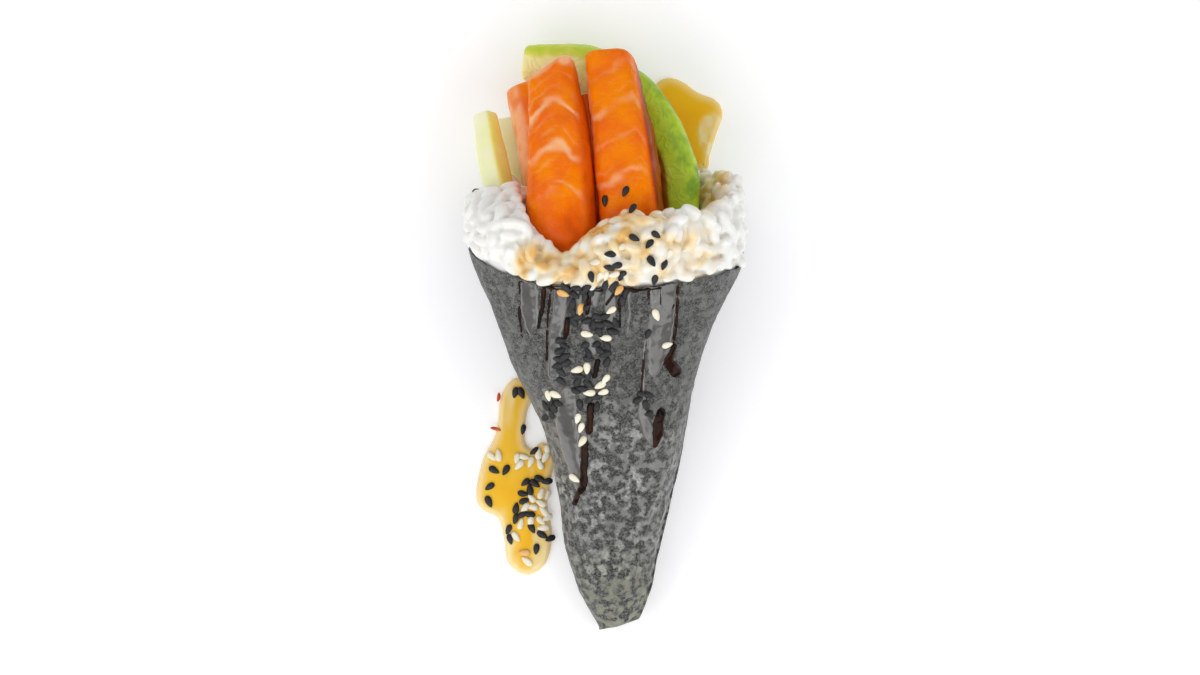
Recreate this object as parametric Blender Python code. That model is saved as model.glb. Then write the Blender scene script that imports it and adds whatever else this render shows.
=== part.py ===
"""Salmon temaki: a nori cone of rice with sticks of salmon and cucumber and slices of avocado, lying on its side.

The roll lies along Y with its tip at -Y and its mouth at +Y, and rests on the plane z = 0.
The mouth is cut on a slant, so that it opens forwards and up. Two pools of sauce lie beside the roll.
"""

import math
import random

import bmesh
import bpy
import numpy as np
from mathutils import Matrix, Vector, noise
from mathutils.bvhtree import BVHTree

MM = 0.001
GAP = 0.35 * MM

# Nori cone: centre, half width and height of its cross-section, from the tip to past the mouth
STATION_Y = np.array([-77.0, -70.0, -58.0, -42.0, -25.0, -10.0, 5.0, 20.0, 38.0, 56.0]) * MM
CENTRE_X = np.array([4.2, 3.4, 3.1, 4.1, 4.0, 1.4, 1.1, 1.5, 0.2, 0.0]) * MM
HALF_WIDTH = np.array([4.6, 8.0, 11.6, 14.6, 18.5, 23.4, 28.5, 35.4, 37.6, 38.6]) * MM
HEIGHT = np.array([8.0, 13.5, 19.5, 24.8, 30.6, 37.4, 44.4, 50.8, 54.6, 56.0]) * MM
SQUARENESS = 2.15
SETTLED = 0.92
CREASE = 0.45 * MM
WALL = 0.8 * MM
LAP = 0.6 * MM
LAP_RISES_OVER = math.radians(70)
SEAM_AT_TIP = math.radians(18)
SEAM_TURNS = math.radians(-68)

# Rim of the nori, from the front edge on top to the leaf-shaped flap below the filling
TIP_Y = -76.2 * MM
TIP_SLANT = 1.5 * MM
TIP_BULGE = 0.7 * MM
RIM_TOP_Y = 12.6 * MM
RIM_LEFT_Y = 23.6 * MM
RIM_RIGHT_Y = 19.6 * MM
RIM_BACK_Y = 50.0 * MM
RIM_POWER = 1.1
CORNER_ANGLE = math.radians(205)
CORNER_SPREAD = math.radians(9)
CORNER_RISE = 4.5 * MM

# Rings of the sheet, as shares of the way from tip to rim
COLUMNS = 40
OUTSIDE_SHARES = [0, 0.04, 0.1, 0.18, 0.27, 0.37, 0.47, 0.57, 0.67, 0.76, 0.85, 0.93, 1]
INSIDE_SHARES = [0.08, 0.18, 0.3, 0.45, 0.6, 0.74, 0.86, 0.95]

# Rice crown: its mouth centre, the way it faces, and how far it stands out on each side
MOUTH_CENTRE = Vector((0.5, 27.0, 24.0)) * MM
MOUTH_FACES = Vector((0.0, 0.79, 0.61)).normalized()
CROWN_STEPS = [0, 0.1, 0.22, 0.36, 0.5, 0.64, 0.8, 1]
CROWN_SHARE = np.array([1.0, 1.06, 1.06, 0.97, 0.84, 0.68, 0.5, 0.3])
CROWN_RISE = np.array([0.02, 0.25, 0.52, 0.82, 1.0, 0.95, 0.75, 0.6])
BULGE_TOP = 11.0 * MM
BULGE_LEFT = 15.0 * MM
BULGE_RIGHT = 23.0 * MM
BULGE_BACK = 7.0 * MM
RIGHT_LEANS = Vector((-0.04, 0.3, -0.25))
MOUND = 5.0 * MM
MOUND_ANGLE = math.radians(68)
MOUND_SPREAD = math.radians(24)
DIP = 5.5 * MM
DIP_ANGLE = math.radians(113)
DIP_SPREAD = math.radians(15)
RIGHT_HOLLOW = 0.62
HOLLOW_FROM = 0.4
HOLLOW_OVER = 0.22
TOP_FROM = 0.35
TOP_OVER = 0.5
SIDES_FROM = 0.3
SIDES_OVER = 0.4
LUMP = 2.0 * MM
LUMP_SIZE = 9.0 * MM
RICE_ENDS_AT_BACK = 0.90

GRAIN_LENGTH = 6.2 * MM
GRAIN_WIDTH = 3.1 * MM
GRAIN_COUNT = 114
GRAIN_SPACING = 4.8 * MM
SWELL_TO_TEST = 1.3
SEED_LENGTH = 3.3 * MM
SEED_WIDTH = 1.9 * MM
SEED_DEPTH = 1.1 * MM
SEED_SPACING = 2.4 * MM
SEED_LIFT = 0.1 * MM
SEED_POINTED = 0.55
DROP_HEIGHT = 80 * MM

# Ends of the fillings: how far each bulges, and the share of the section that is left at the corners
END_BULGE = 1.4 * MM
END_MIDDLE = 0.3 * MM
END_SHARE = 0.72
END_SLANTS_FROM = 0.6

# Side of a sauce pool: how far in from its outline, and how high
POOL_SIDE = [(0.5 * MM, 0), (0, 0.5 * MM), (0.3 * MM, 1.1 * MM), (1.2 * MM, 1.8 * MM)]

COLOURS = {
    "nori": ((0.085, 0.088, 0.075), 0.5),
    "rice": ((0.88, 0.86, 0.78), 0.4),
    "salmon": ((0.86, 0.23, 0.02), 0.3),
    "avocado": ((0.40, 0.47, 0.06), 0.4),
    "cucumber": ((0.82, 0.80, 0.42), 0.35),
    "sauce": ((0.80, 0.40, 0.03), 0.1),
}


def cubic(keys, values, at):
    """The smooth curve through the keys, read at one place or at many."""
    slopes = np.gradient(values, keys)
    i = np.clip(np.searchsorted(keys, at) - 1, 0, len(keys) - 2)
    width = keys[i + 1] - keys[i]
    t = np.clip((at - keys[i]) / width, 0, 1)
    start = values[i] * (1 + 2 * t) * (1 - t) ** 2 + values[i + 1] * t * t * (3 - 2 * t)
    lean = slopes[i] * t * (1 - t) ** 2 - slopes[i + 1] * t * t * (1 - t)
    return start + width * lean


def smooth_step(t):
    t = np.clip(t, 0, 1)
    return t * t * (3 - 2 * t)


def crease(theta, y):
    """The soft folds that run down the sheet, out or in."""
    wide = math.sin(3 * theta + 55 * y) + 0.8 * math.sin(5 * theta - 80 * y + 1)
    return CREASE * wide * float(smooth_step((y - STATION_Y[0]) / (20 * MM)))


def section_point(theta, y, inset=0.0):
    """A point of the roll's flattened cross-section at y. Theta is 0 on the right and 90 degrees on top."""
    fold = crease(theta, y)
    half = cubic(STATION_Y, HALF_WIDTH, y) + fold - inset
    rise = cubic(STATION_Y, HEIGHT, y) / (1 + SETTLED)
    power = 2 / SQUARENESS
    across, up = np.cos(theta), np.sin(theta)
    x = cubic(STATION_Y, CENTRE_X, y) + half * np.sign(across) * np.abs(across) ** power
    z = SETTLED * rise + (rise + fold - inset) * np.sign(up) * np.abs(up) ** power
    return Vector((float(x), float(y), float(max(z, inset, 0.0))))


def rim_y(theta, corner=True):
    """Where the nori ends, going round the mouth."""
    up, right = math.sin(theta), math.cos(theta)
    side = (RIM_LEFT_Y + RIM_RIGHT_Y) / 2 + right * (RIM_RIGHT_Y - RIM_LEFT_Y) / 2
    end = RIM_TOP_Y if up > 0 else RIM_BACK_Y
    edge = side + (end - side) * abs(up) ** RIM_POWER
    if corner:
        away = (theta % math.tau - CORNER_ANGLE) / CORNER_SPREAD
        edge += CORNER_RISE * math.exp(-away * away)
    return edge


def along(theta, share, corner=True):
    """The y that lies that share of the way from the slanted tip to the rim."""
    tip = TIP_Y + TIP_SLANT * math.cos(theta)
    return tip + share * (rim_y(theta, corner) - tip)


def finish_object(name, bm, colour):
    """Makes a smooth-shaded object with its own material from a bmesh."""
    bmesh.ops.recalc_face_normals(bm, faces=bm.faces)
    mesh = bpy.data.meshes.new(name)
    bm.to_mesh(mesh)
    bm.free()
    mesh.shade_smooth()
    mesh.set_sharp_from_angle(angle=math.radians(50))
    obj = bpy.data.objects.new(name, mesh)
    bpy.context.scene.collection.objects.link(obj)
    material = bpy.data.materials.new(name)
    material.use_nodes = True
    shader = material.node_tree.nodes["Principled BSDF"]
    shader.inputs["Base Color"].default_value = (*COLOURS[colour][0], 1)
    shader.inputs["Roughness"].default_value = COLOURS[colour][1]
    mesh.materials.append(material)
    return obj


def skin_rings(bm, rings):
    """Joins rings of points, each as long as the next, into a tube and returns its rings of vertices."""
    loops = [[bm.verts.new(point) for point in ring] for ring in rings]
    for near, far in zip(loops, loops[1:]):
        bridge(bm, near, far)
    return loops


def bridge(bm, near, far):
    """Joins two rings of vertices by triangles, always split the same way."""
    for i in range(len(near)):
        j = (i + 1) % len(near)
        bm.faces.new((near[i], near[j], far[j]))
        bm.faces.new((near[i], far[j], far[i]))


def fan(bm, ring, point):
    """Closes a ring of vertices with triangles to one point."""
    middle = bm.verts.new(point)
    for i in range(len(ring)):
        bm.faces.new((ring[i], ring[(i + 1) % len(ring)], middle))


def mean_point(ring):
    return sum((v.co for v in ring), Vector()) / len(ring)


def seam_angle(share):
    return SEAM_AT_TIP + SEAM_TURNS * share**0.8


def outer_ring(share):
    """One ring of the sheet's outside. It starts and ends at the seam, where the outer layer laps over."""
    ring = []
    for i in range(COLUMNS + 1):
        turned = math.tau * i / COLUMNS
        theta = seam_angle(share) + turned
        lap = LAP * smooth_step((turned - math.tau + LAP_RISES_OVER) / LAP_RISES_OVER)
        ring.append(section_point(theta, along(theta, share), -lap))
    return ring


def inner_ring(share, inset, corner=False):
    """One ring inside the sheet, at that depth below its outside."""
    thetas = [seam_angle(share) + math.tau * i / COLUMNS for i in range(COLUMNS)]
    return [section_point(theta, along(theta, share, corner), inset) for theta in thetas]


def make_nori():
    """The wrapped sheet: an outer and an inner skin, joined at the rim and closed at the tip."""
    bm = bmesh.new()
    outer = skin_rings(bm, [outer_ring(share) for share in OUTSIDE_SHARES])
    inside = [inner_ring(share, WALL) for share in INSIDE_SHARES]
    inner = skin_rings(bm, inside + [inner_ring(1, WALL, corner=True)])
    rim_out, rim_in = outer[-1], inner[-1]
    for i in range(COLUMNS):
        j = (i + 1) % COLUMNS
        bm.faces.new((rim_out[i], rim_out[i + 1], rim_in[j], rim_in[i]))
    bm.faces.new((rim_out[COLUMNS], rim_out[0], rim_in[0]))
    fan(bm, outer[0], mean_point(outer[0]) - Vector((0, TIP_BULGE, 0)))
    fan(bm, inner[0], mean_point(inner[0]))
    return finish_object("nori", bm, "nori")


def crown_bulge(theta):
    """How far the rice stands out of the mouth on that side."""
    up, right = math.sin(theta), math.cos(theta)
    end = BULGE_TOP if up > 0 else BULGE_BACK
    side = BULGE_RIGHT if right > 0 else BULGE_LEFT
    mound = (theta % math.tau - MOUND_ANGLE) / MOUND_SPREAD
    dip = (theta % math.tau - DIP_ANGLE) / DIP_SPREAD
    uneven = MOUND * math.exp(-mound * mound) - DIP * math.exp(-dip * dip)
    return end * up * up + side * right * right + uneven


def crown_point(theta, along_profile):
    """A point of the rice crown, from the rim at 0 to the middle of the filling's well at 1."""
    keys = np.linspace(0, 1, len(CROWN_SHARE))
    share = float(cubic(keys, CROWN_SHARE, along_profile))
    up, right = math.sin(theta), math.cos(theta)
    hollow = RIGHT_HOLLOW * max(right, 0) ** 2 * float(smooth_step((along_profile - HOLLOW_FROM) / HOLLOW_OVER))
    rise = float(cubic(keys, CROWN_RISE, along_profile)) * crown_bulge(theta) * (1 - hollow)
    at_sides = smooth_step((abs(right) - SIDES_FROM) / SIDES_OVER)
    overhang = float(smooth_step((up + TOP_FROM) / TOP_OVER) * (1 - at_sides))
    share = share if share < 1 else 1 + (share - 1) * overhang
    meets = 1 - (1 - RICE_ENDS_AT_BACK) * float(smooth_step(-up))
    edge = section_point(theta, along(theta, meets, corner=False), WALL + GAP)
    faces = (MOUTH_FACES + RIGHT_LEANS * max(right, 0)).normalized()
    point = MOUTH_CENTRE + (edge - MOUTH_CENTRE) * share + faces * rise
    uneven = LUMP * noise.noise(point / LUMP_SIZE) * float(smooth_step(along_profile / 0.25))
    return point + faces * uneven


def make_rice_core():
    """The rice inside the cone and the crown that swells out of its mouth."""
    plug = [inner_ring(share, WALL + GAP) for share in INSIDE_SHARES[1:-1]]
    angles = [seam_angle(1) + math.tau * i / COLUMNS for i in range(COLUMNS)]
    crown = [[crown_point(a, step) for a in angles] for step in CROWN_STEPS]
    bm = bmesh.new()
    loops = skin_rings(bm, plug + crown)
    fan(bm, loops[0], mean_point(loops[0]))
    fan(bm, loops[-1], MOUTH_CENTRE + MOUTH_FACES * BULGE_TOP * 0.55)
    return finish_object("rice", bm, "rice")


def path_frames(path, steps):
    """Points along the smooth curve through the path, each with its forward, side and up directions."""
    points = np.array(path, float) * MM
    keys = np.linspace(0, 1, len(points))
    at = np.linspace(0, 1, steps)
    line = np.array([cubic(keys, points[:, k], at) for k in range(3)]).T
    frames = []
    for i, point in enumerate(line):
        ahead = Vector(line[min(i + 1, steps - 1)] - line[max(i - 1, 0)]).normalized()
        side = ahead.cross(Vector((0, 0, 1))).normalized()
        frames.append((Vector(point), ahead, side, side.cross(ahead)))
    return frames


def rounded_bar(path, widths, heights, squareness, roll=0.0, slant=0.0, taper=0.0, steps=9, around=12):
    """A bmesh of a bar with rounded corners along a path. Taper thins its left side, as on a wedge."""
    frames = path_frames(path, steps)
    keys = np.linspace(0, 1, len(widths))
    bm = bmesh.new()
    rings = []
    for i, (centre, ahead, side, up) in enumerate(frames):
        t = i / (steps - 1)
        half_w = float(cubic(keys, np.array(widths), t)) * MM / 2
        half_h = float(cubic(keys, np.array(heights), t)) * MM / 2
        ring = []
        for k in range(around):
            a = math.tau * (k + 0.5) / around
            c, s = math.cos(a), math.sin(a)
            u = math.copysign(abs(c) ** (2 / squareness), c)
            w = math.copysign(abs(s) ** (2 / squareness), s) * (1 - taper * (1 - u) / 2)
            x, z = half_w * u, half_h * w
            x, z = x * math.cos(roll) - z * math.sin(roll), x * math.sin(roll) + z * math.cos(roll)
            lean = ahead * (slant * x * smooth_step((t - END_SLANTS_FROM) / (1 - END_SLANTS_FROM)))
            ring.append(centre + side * x + up * z + lean)
        rings.append(ring)
    loops = skin_rings(bm, rings)
    for loop, outwards in ((loops[0], -frames[0][1]), (loops[-1], frames[-1][1])):
        middle = mean_point(loop)
        cap = [bm.verts.new(middle + (v.co - middle) * END_SHARE + outwards * END_BULGE) for v in loop]
        bridge(bm, loop, cap)
        fan(bm, cap, mean_point(cap) + outwards * END_MIDDLE)
    return bm


# Each filling: path in millimetres from inside the rice outwards, widths, heights, and its form
FILLINGS = {
    "salmon_left": dict(
        colour="salmon",
        path=[(-9.8, 20, 35.5), (-10.2, 34, 35.8), (-10.6, 50, 33.2), (-13.0, 68.4, 27.4)],
        widths=[17.8, 17.7, 15.6, 11.9],
        heights=[12.6, 13.0, 13.0, 12.0],
        squareness=3.6,
        roll=math.radians(14),
        slant=0.5,
    ),
    "salmon_right": dict(
        colour="salmon",
        path=[(8.6, 23, 35.5), (7.6, 36, 35.6), (5.8, 52, 32.6), (2.4, 72.2, 26.2)],
        widths=[15.6, 15.8, 15.5, 11.9],
        heights=[12.6, 13.0, 13.0, 12.0],
        squareness=3.6,
        roll=math.radians(14),
        slant=-0.15,
    ),
    "salmon_side": dict(
        colour="salmon",
        path=[(-13.8, 26, 21.2), (-15.4, 40, 20.6), (-17.8, 54, 18.2), (-20.4, 64.4, 15.6)],
        widths=[9.0, 10.0, 10.0, 9.0],
        heights=[10.5, 11.0, 10.8, 9.6],
        squareness=3.6,
        slant=0.1,
    ),
    "avocado_slice": dict(
        colour="avocado",
        path=[
            (18.4, 24, 24.5),
            (19.0, 36, 23.6),
            (16.8, 48.6, 20.5),
            (9.2, 61.6, 15.4),
            (-2.6, 70.0, 11.8),
            (-19.0, 72.4, 9.6),
        ],
        widths=[11.0, 13.6, 13.8, 13.8, 13.2, 9.6],
        heights=[9.0, 11.8, 12.4, 12.4, 11.6, 9.4],
        squareness=2.8,
        taper=0.5,
        steps=14,
    ),
    "avocado_under": dict(
        colour="avocado",
        path=[(19.4, 25, 12.0), (20.8, 35, 10.6), (19.4, 46, 8.0), (14.4, 56, 5.6)],
        widths=[9.0, 11.0, 10.6, 8.0],
        heights=[7.0, 9.0, 9.0, 7.0],
        squareness=2.8,
        taper=0.5,
    ),
    "cucumber_left": dict(
        colour="cucumber",
        path=[(-23.6, 26, 26.4), (-26.2, 37, 25.6), (-28.5, 47, 23.4), (-30.3, 57.2, 20.2)],
        widths=[7.0, 7.0, 6.2, 5.0],
        heights=[7.0, 7.0, 6.4, 5.4],
        squareness=5.0,
        roll=math.radians(-54),
    ),
    "cucumber_under": dict(
        colour="cucumber",
        path=[(-20.4, 26, 12.2), (-21.6, 36, 12.0), (-23.4, 46, 10.6), (-24.8, 56.2, 8.4)],
        widths=[7.0, 7.4, 7.4, 6.6],
        heights=[6.4, 6.8, 6.8, 6.0],
        squareness=5.0,
        roll=math.radians(12),
    ),
}


def make_filling(name, colour, **form):
    return finish_object(name, rounded_bar(**form), colour)


# Outlines of the sauce pools in millimetres, going round anticlockwise
LEFT_POOL = [
    (-22.5, -10.8),
    (-26.6, -15.5),
    (-28.0, -25.5),
    (-31.6, -33.0),
    (-33.3, -42.0),
    (-31.6, -46.0),
    (-27.4, -48.4),
    (-25.8, -54.0),
    (-24.6, -60.4),
    (-19.6, -63.4),
    (-14.6, -60.0),
    (-13.0, -52.4),
    (-14.2, -44.0),
    (-12.6, -35.0),
    (-11.4, -30.2),
    (-15.6, -28.0),
    (-18.4, -29.6),
    (-20.2, -27.4),
    (-19.6, -20.0),
    (-17.4, -13.6),
]
RIGHT_POOL = [
    (13.6, 66.0),
    (11.6, 58.0),
    (16.0, 50.0),
    (22.0, 45.4),
    (28.0, 44.6),
    (29.0, 48.4),
    (30.6, 53.6),
    (32.4, 59.4),
    (30.6, 63.0),
    (26.0, 65.0),
    (21.6, 68.0),
    (17.4, 69.0),
]


def closed_curve(points, between):
    """Points on the smooth loop through the given ones."""
    points = [Vector((x, y, 0)) * MM for x, y in points]
    count = len(points)
    made = []
    for i in range(count):
        before, start, end, after = (points[(i + k - 1) % count] for k in range(4))
        for k in range(between):
            t = k / between
            bend = (2 * before - 5 * start + 4 * end - after) * t * t
            turn = (3 * start - before - 3 * end + after) * t**3
            made.append((2 * start + (end - before) * t + bend + turn) / 2)
    return made


def inset_ring(ring, inset, z):
    """The loop moved inwards by inset and set at height z."""
    moved = []
    for i, point in enumerate(ring):
        way = (ring[(i + 1) % len(ring)] - ring[i - 1]).normalized()
        inwards = Vector((-way.y, way.x, 0))
        moved.append(point + inwards * inset + Vector((0, 0, z)))
    return moved


def make_pool(name, outline):
    """A pool of thick sauce with a rounded edge and a flat top."""
    edge = closed_curve(outline, 2)
    bm = bmesh.new()
    loops = skin_rings(bm, [inset_ring(edge, inset, z) for inset, z in POOL_SIDE])
    bm.faces.new(loops[0])
    bm.faces.new(loops[-1])
    bmesh.ops.triangulate(bm, faces=[f for f in bm.faces if len(f.verts) > 4])
    return finish_object(name, bm, "sauce")


def surface_tree(obj):
    return BVHTree.FromObject(obj, bpy.context.evaluated_depsgraph_get())


def grain_mesh(length, width, depth, pointed):
    """A five-sided grain or seed lying along X. Pointed pulls its -X end to a tip."""
    bm = bmesh.new()
    bmesh.ops.create_uvsphere(bm, u_segments=5, v_segments=3, radius=0.5)
    bmesh.ops.rotate(bm, verts=bm.verts, matrix=Matrix.Rotation(math.pi / 2, 3, "Y"))
    for v in bm.verts:
        narrow = 1 - pointed * (0.5 - v.co.x)
        v.co = Vector((v.co.x * length, v.co.y * width * narrow, v.co.z * depth * narrow))
    mesh = bpy.data.meshes.new("grain")
    bm.to_mesh(mesh)
    bm.free()
    return mesh


def lie_on(point, normal, heading, sunk):
    """The matrix that lays a grain on a surface, turned by heading about its normal."""
    x_axis = normal.orthogonal().normalized()
    y_axis = normal.cross(x_axis)
    turn = Matrix((x_axis, y_axis, normal)).transposed().to_4x4()
    return Matrix.Translation(point - normal * sunk) @ turn @ Matrix.Rotation(heading, 4, "Z")


def clear_of(mesh, matrix, trees):
    """Whether the placed grain, slightly swollen, stays outside all the given surfaces."""
    swollen = matrix @ Matrix.Scale(SWELL_TO_TEST, 4)
    corners = [swollen @ vertex.co for vertex in mesh.vertices]
    grain = BVHTree.FromPolygons(corners, [tuple(face.vertices) for face in mesh.polygons])
    for tree in trees:
        spot, normal, _, distance = tree.find_nearest(corners[0])
        if distance < GAP or (corners[0] - spot).dot(normal) < 0 or tree.overlap(grain):
            return False
    return True


def fuse(base, mesh, matrices):
    """Joins placed copies of a mesh to the base with one Boolean union, and removes them."""
    collection = bpy.data.collections.new(base.name + "_pieces")
    bpy.context.scene.collection.children.link(collection)
    for matrix in matrices:
        piece = bpy.data.objects.new("piece", mesh)
        piece.matrix_world = matrix
        collection.objects.link(piece)
    union = base.modifiers.new("Fuse", "BOOLEAN")
    union.operation = "UNION"
    union.operand_type = "COLLECTION"
    union.collection = collection
    union.solver = "MANIFOLD"
    apply_modifiers(base)
    for piece in list(collection.objects):
        bpy.data.objects.remove(piece)
    bpy.data.collections.remove(collection)


def apply_modifiers(obj):
    graph = bpy.context.evaluated_depsgraph_get()
    mesh = bpy.data.meshes.new_from_object(obj.evaluated_get(graph))
    obj.modifiers.clear()
    obj.data = mesh


def cut_by(obj, other):
    """Cuts the other object, grown by the gap, out of this one."""
    cutter = other.copy()
    cutter.data = other.data.copy()
    bm = bmesh.new()
    bm.from_mesh(cutter.data)
    bm.normal_update()
    for v in bm.verts:
        v.co += v.normal * GAP * 1.3
    bm.to_mesh(cutter.data)
    bm.free()
    bpy.context.scene.collection.objects.link(cutter)
    difference = obj.modifiers.new("Cut", "BOOLEAN")
    difference.operation = "DIFFERENCE"
    difference.object = cutter
    apply_modifiers(obj)
    bpy.data.objects.remove(cutter)


def spaced(draw, count, spacing, tries=40):
    """Up to count drawn places, each at least spacing from the others."""
    kept = []
    for _ in range(count * tries):
        if len(kept) == count:
            break
        place = draw()
        if place and all((place[0] - other[0]).length > spacing for other in kept):
            kept.append(place)
    return kept


def add_grains(rice, fillings, nori):
    """Lays grains over the crown, clear of the fillings and the sheet."""
    rng = random.Random(7)
    tree = surface_tree(rice)
    trees = [surface_tree(obj) for obj in (*fillings, nori)]
    mesh = grain_mesh(GRAIN_LENGTH, GRAIN_WIDTH, GRAIN_WIDTH * 0.9, pointed=0)

    def draw():
        theta = rng.uniform(0, math.tau)
        spot, normal, _, _ = tree.find_nearest(crown_point(theta, rng.uniform(0.03, 0.85)))
        matrix = lie_on(spot, normal, rng.uniform(0, math.pi), GRAIN_WIDTH * rng.uniform(-0.05, 0.25))
        return (spot, matrix) if clear_of(mesh, matrix, trees) else None

    places = spaced(draw, GRAIN_COUNT, GRAIN_SPACING)
    fuse(rice, mesh, [matrix for _, matrix in places])


# Where seeds fall: centre, half sizes along x and y in millimetres, and how many lie there
RICE_SEEDS = [((6.0, 20.0), (15.0, 8.0), 16)]
NORI_SEEDS = [((-2.0, 6.0), (9.0, 6.5), 14), ((-4.0, -10.0), (9.0, 11.0), 18), ((15.0, 2.0), (6.0, 7.0), 5)]
POOL_SEEDS = [((-22.0, -40.0), (9.0, 9.0), 18), ((-20.0, -56.0), (6.0, 6.0), 8), ((-22.5, -20.0), (4.0, 8.0), 2)]


def add_seeds(base, patches, blockers, draw_seed, lowest_slope=0.3):
    """Drops seeds from above on patches of the base, clear of the other nodes."""
    rng = random.Random(draw_seed)
    tree = surface_tree(base)
    trees = [surface_tree(obj) for obj in blockers]
    mesh = grain_mesh(SEED_LENGTH, SEED_WIDTH, SEED_DEPTH, SEED_POINTED)
    places = []
    for (x, y), (half_x, half_y), count in patches:

        def draw():
            top = Vector((x + half_x * rng.uniform(-1, 1), y + half_y * rng.uniform(-1, 1), 0)) * MM
            top.z = DROP_HEIGHT
            spot, normal, _, _ = tree.ray_cast(top, Vector((0, 0, -1)))
            if spot is None or normal.z < lowest_slope:
                return None
            matrix = lie_on(spot, normal, rng.uniform(0, math.tau), -SEED_LIFT)
            return (spot, matrix) if clear_of(mesh, matrix, trees) else None

        places += spaced(draw, count, SEED_SPACING)
    fuse(base, mesh, [matrix for _, matrix in places])


def main():
    for obj in list(bpy.data.objects):
        bpy.data.objects.remove(obj)
    nori = make_nori()
    rice = make_rice_core()
    fillings = [make_filling(name, **form) for name, form in FILLINGS.items()]
    bpy.context.view_layer.update()
    for filling in fillings:
        cut_by(rice, filling)
    add_grains(rice, fillings, nori)
    left_pool = make_pool("sauce_pool_left", LEFT_POOL)
    right_pool = make_pool("sauce_pool_right", RIGHT_POOL)
    bpy.context.view_layer.update()
    add_seeds(rice, RICE_SEEDS, [*fillings, nori], 11)
    add_seeds(nori, NORI_SEEDS, [rice, left_pool, right_pool], 12)
    add_seeds(left_pool, POOL_SEEDS, [nori], 13, lowest_slope=0.99)


main()
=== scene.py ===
# %% [markdown]
# # A salmon temaki
# A temaki is a hand roll: a sheet of roasted seaweed, nori, wound into a cone round rice, with sticks of
# salmon and cucumber and slices of avocado standing out of its mouth. Glaze has been spooned over it and
# sesame scattered on top. It lies on its side and is seen from straight above.
#
# The solids of the part are loaded first and stay where they are. Every piece below takes the place of one
# of them or lies on it, and is built from the same measures, so that it has the same form with the detail
# added.

# %% Load the solids
import math
import random

import bmesh
import bpy
import numpy as np
from mathutils import Matrix, Vector, geometry, noise
from mathutils.bvhtree import BVHTree


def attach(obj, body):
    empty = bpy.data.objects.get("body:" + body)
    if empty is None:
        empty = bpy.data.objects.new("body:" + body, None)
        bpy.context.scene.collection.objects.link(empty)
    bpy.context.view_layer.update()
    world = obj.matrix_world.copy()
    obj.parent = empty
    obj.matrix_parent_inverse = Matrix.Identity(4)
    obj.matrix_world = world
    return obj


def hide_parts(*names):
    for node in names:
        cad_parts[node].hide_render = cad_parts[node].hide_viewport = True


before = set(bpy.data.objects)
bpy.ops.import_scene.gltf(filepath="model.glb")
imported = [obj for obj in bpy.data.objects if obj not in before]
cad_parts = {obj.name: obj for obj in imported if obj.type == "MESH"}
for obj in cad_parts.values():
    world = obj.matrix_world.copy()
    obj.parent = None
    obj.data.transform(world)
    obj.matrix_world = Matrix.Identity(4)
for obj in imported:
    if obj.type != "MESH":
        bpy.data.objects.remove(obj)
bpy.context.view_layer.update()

MM = 0.001
print("solids:", sorted(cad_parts))

# %% [markdown]
# ## The studio
# The roll was photographed from above on white, in soft light from all sides. Six softboxes stand in a
# closed ring round the camera and leave the middle open. Wet food facing the lens then mirrors the dark
# opening and keeps its full colour, while edges and slopes mirror the boxes and shine. The front boxes are
# the brightest, since the sloping nori mirrors them and so shows its glaze as grey. A long lens keeps the
# view nearly flat, as the photograph is.

# %% Camera, floor and light
PHOTO_WIDTH_PX = 1200
MM_PER_PX = 0.262
FOCUS_HEIGHT = 20 * MM
LENS = 135.0
SENSOR = 36.0

view_width = PHOTO_WIDTH_PX * MM_PER_PX * MM
camera_data = bpy.data.cameras.new("camera")
camera_data.lens = LENS
camera_data.sensor_width = SENSOR
camera = bpy.data.objects.new("camera", camera_data)
camera.location = (-MM_PER_PX * MM, -MM_PER_PX / 2 * MM, FOCUS_HEIGHT + view_width * LENS / SENSOR)
bpy.context.scene.collection.objects.link(camera)
bpy.context.scene.camera = camera

floor_mesh = bpy.data.meshes.new("floor")
floor_mesh.from_pydata([(-3, -3, 0), (3, -3, 0), (3, 3, 0), (-3, 3, 0)], [], [(0, 1, 2, 3)])
floor = bpy.data.objects.new("floor", floor_mesh)
floor.location.z = -0.05 * MM
floor_material = bpy.data.materials.new("white_floor")
floor_material.use_nodes = True
floor_shader = floor_material.node_tree.nodes["Principled BSDF"]
floor_shader.inputs["Base Color"].default_value = (0.93, 0.93, 0.94, 1)
floor_shader.inputs["Roughness"].default_value = 0.9
floor_shader.inputs["Specular IOR Level"].default_value = 0.1
floor_shader.inputs["Emission Color"].default_value = (1, 1, 1, 1)
floor_shader.inputs["Emission Strength"].default_value = 0.2
floor_mesh.materials.append(floor_material)
bpy.context.scene.collection.objects.link(floor)

SOFTBOX_SIZE = 1.6
SOFTBOX_AWAY = 1.45
SOFTBOX_HEIGHT = 1.3
# Watts of each box, going round from the right
SOFTBOX_WATTS = {
    "right_back": 4.5,
    "back": 4.5,
    "left_back": 5.5,
    "left_front": 13.0,
    "front": 14.0,
    "right_front": 12.0,
}
for number, (side, watts) in enumerate(SOFTBOX_WATTS.items()):
    turn = math.radians(30 + 60 * number)
    light = bpy.data.lights.new("softbox_" + side, "AREA")
    light.shape = "SQUARE"
    light.size = SOFTBOX_SIZE
    light.energy = watts
    box = bpy.data.objects.new("softbox_" + side, light)
    box.location = (SOFTBOX_AWAY * math.cos(turn), SOFTBOX_AWAY * math.sin(turn), SOFTBOX_HEIGHT)
    box.rotation_euler = Vector(box.location).to_track_quat("Z", "Y").to_euler()
    bpy.context.scene.collection.objects.link(box)

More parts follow.
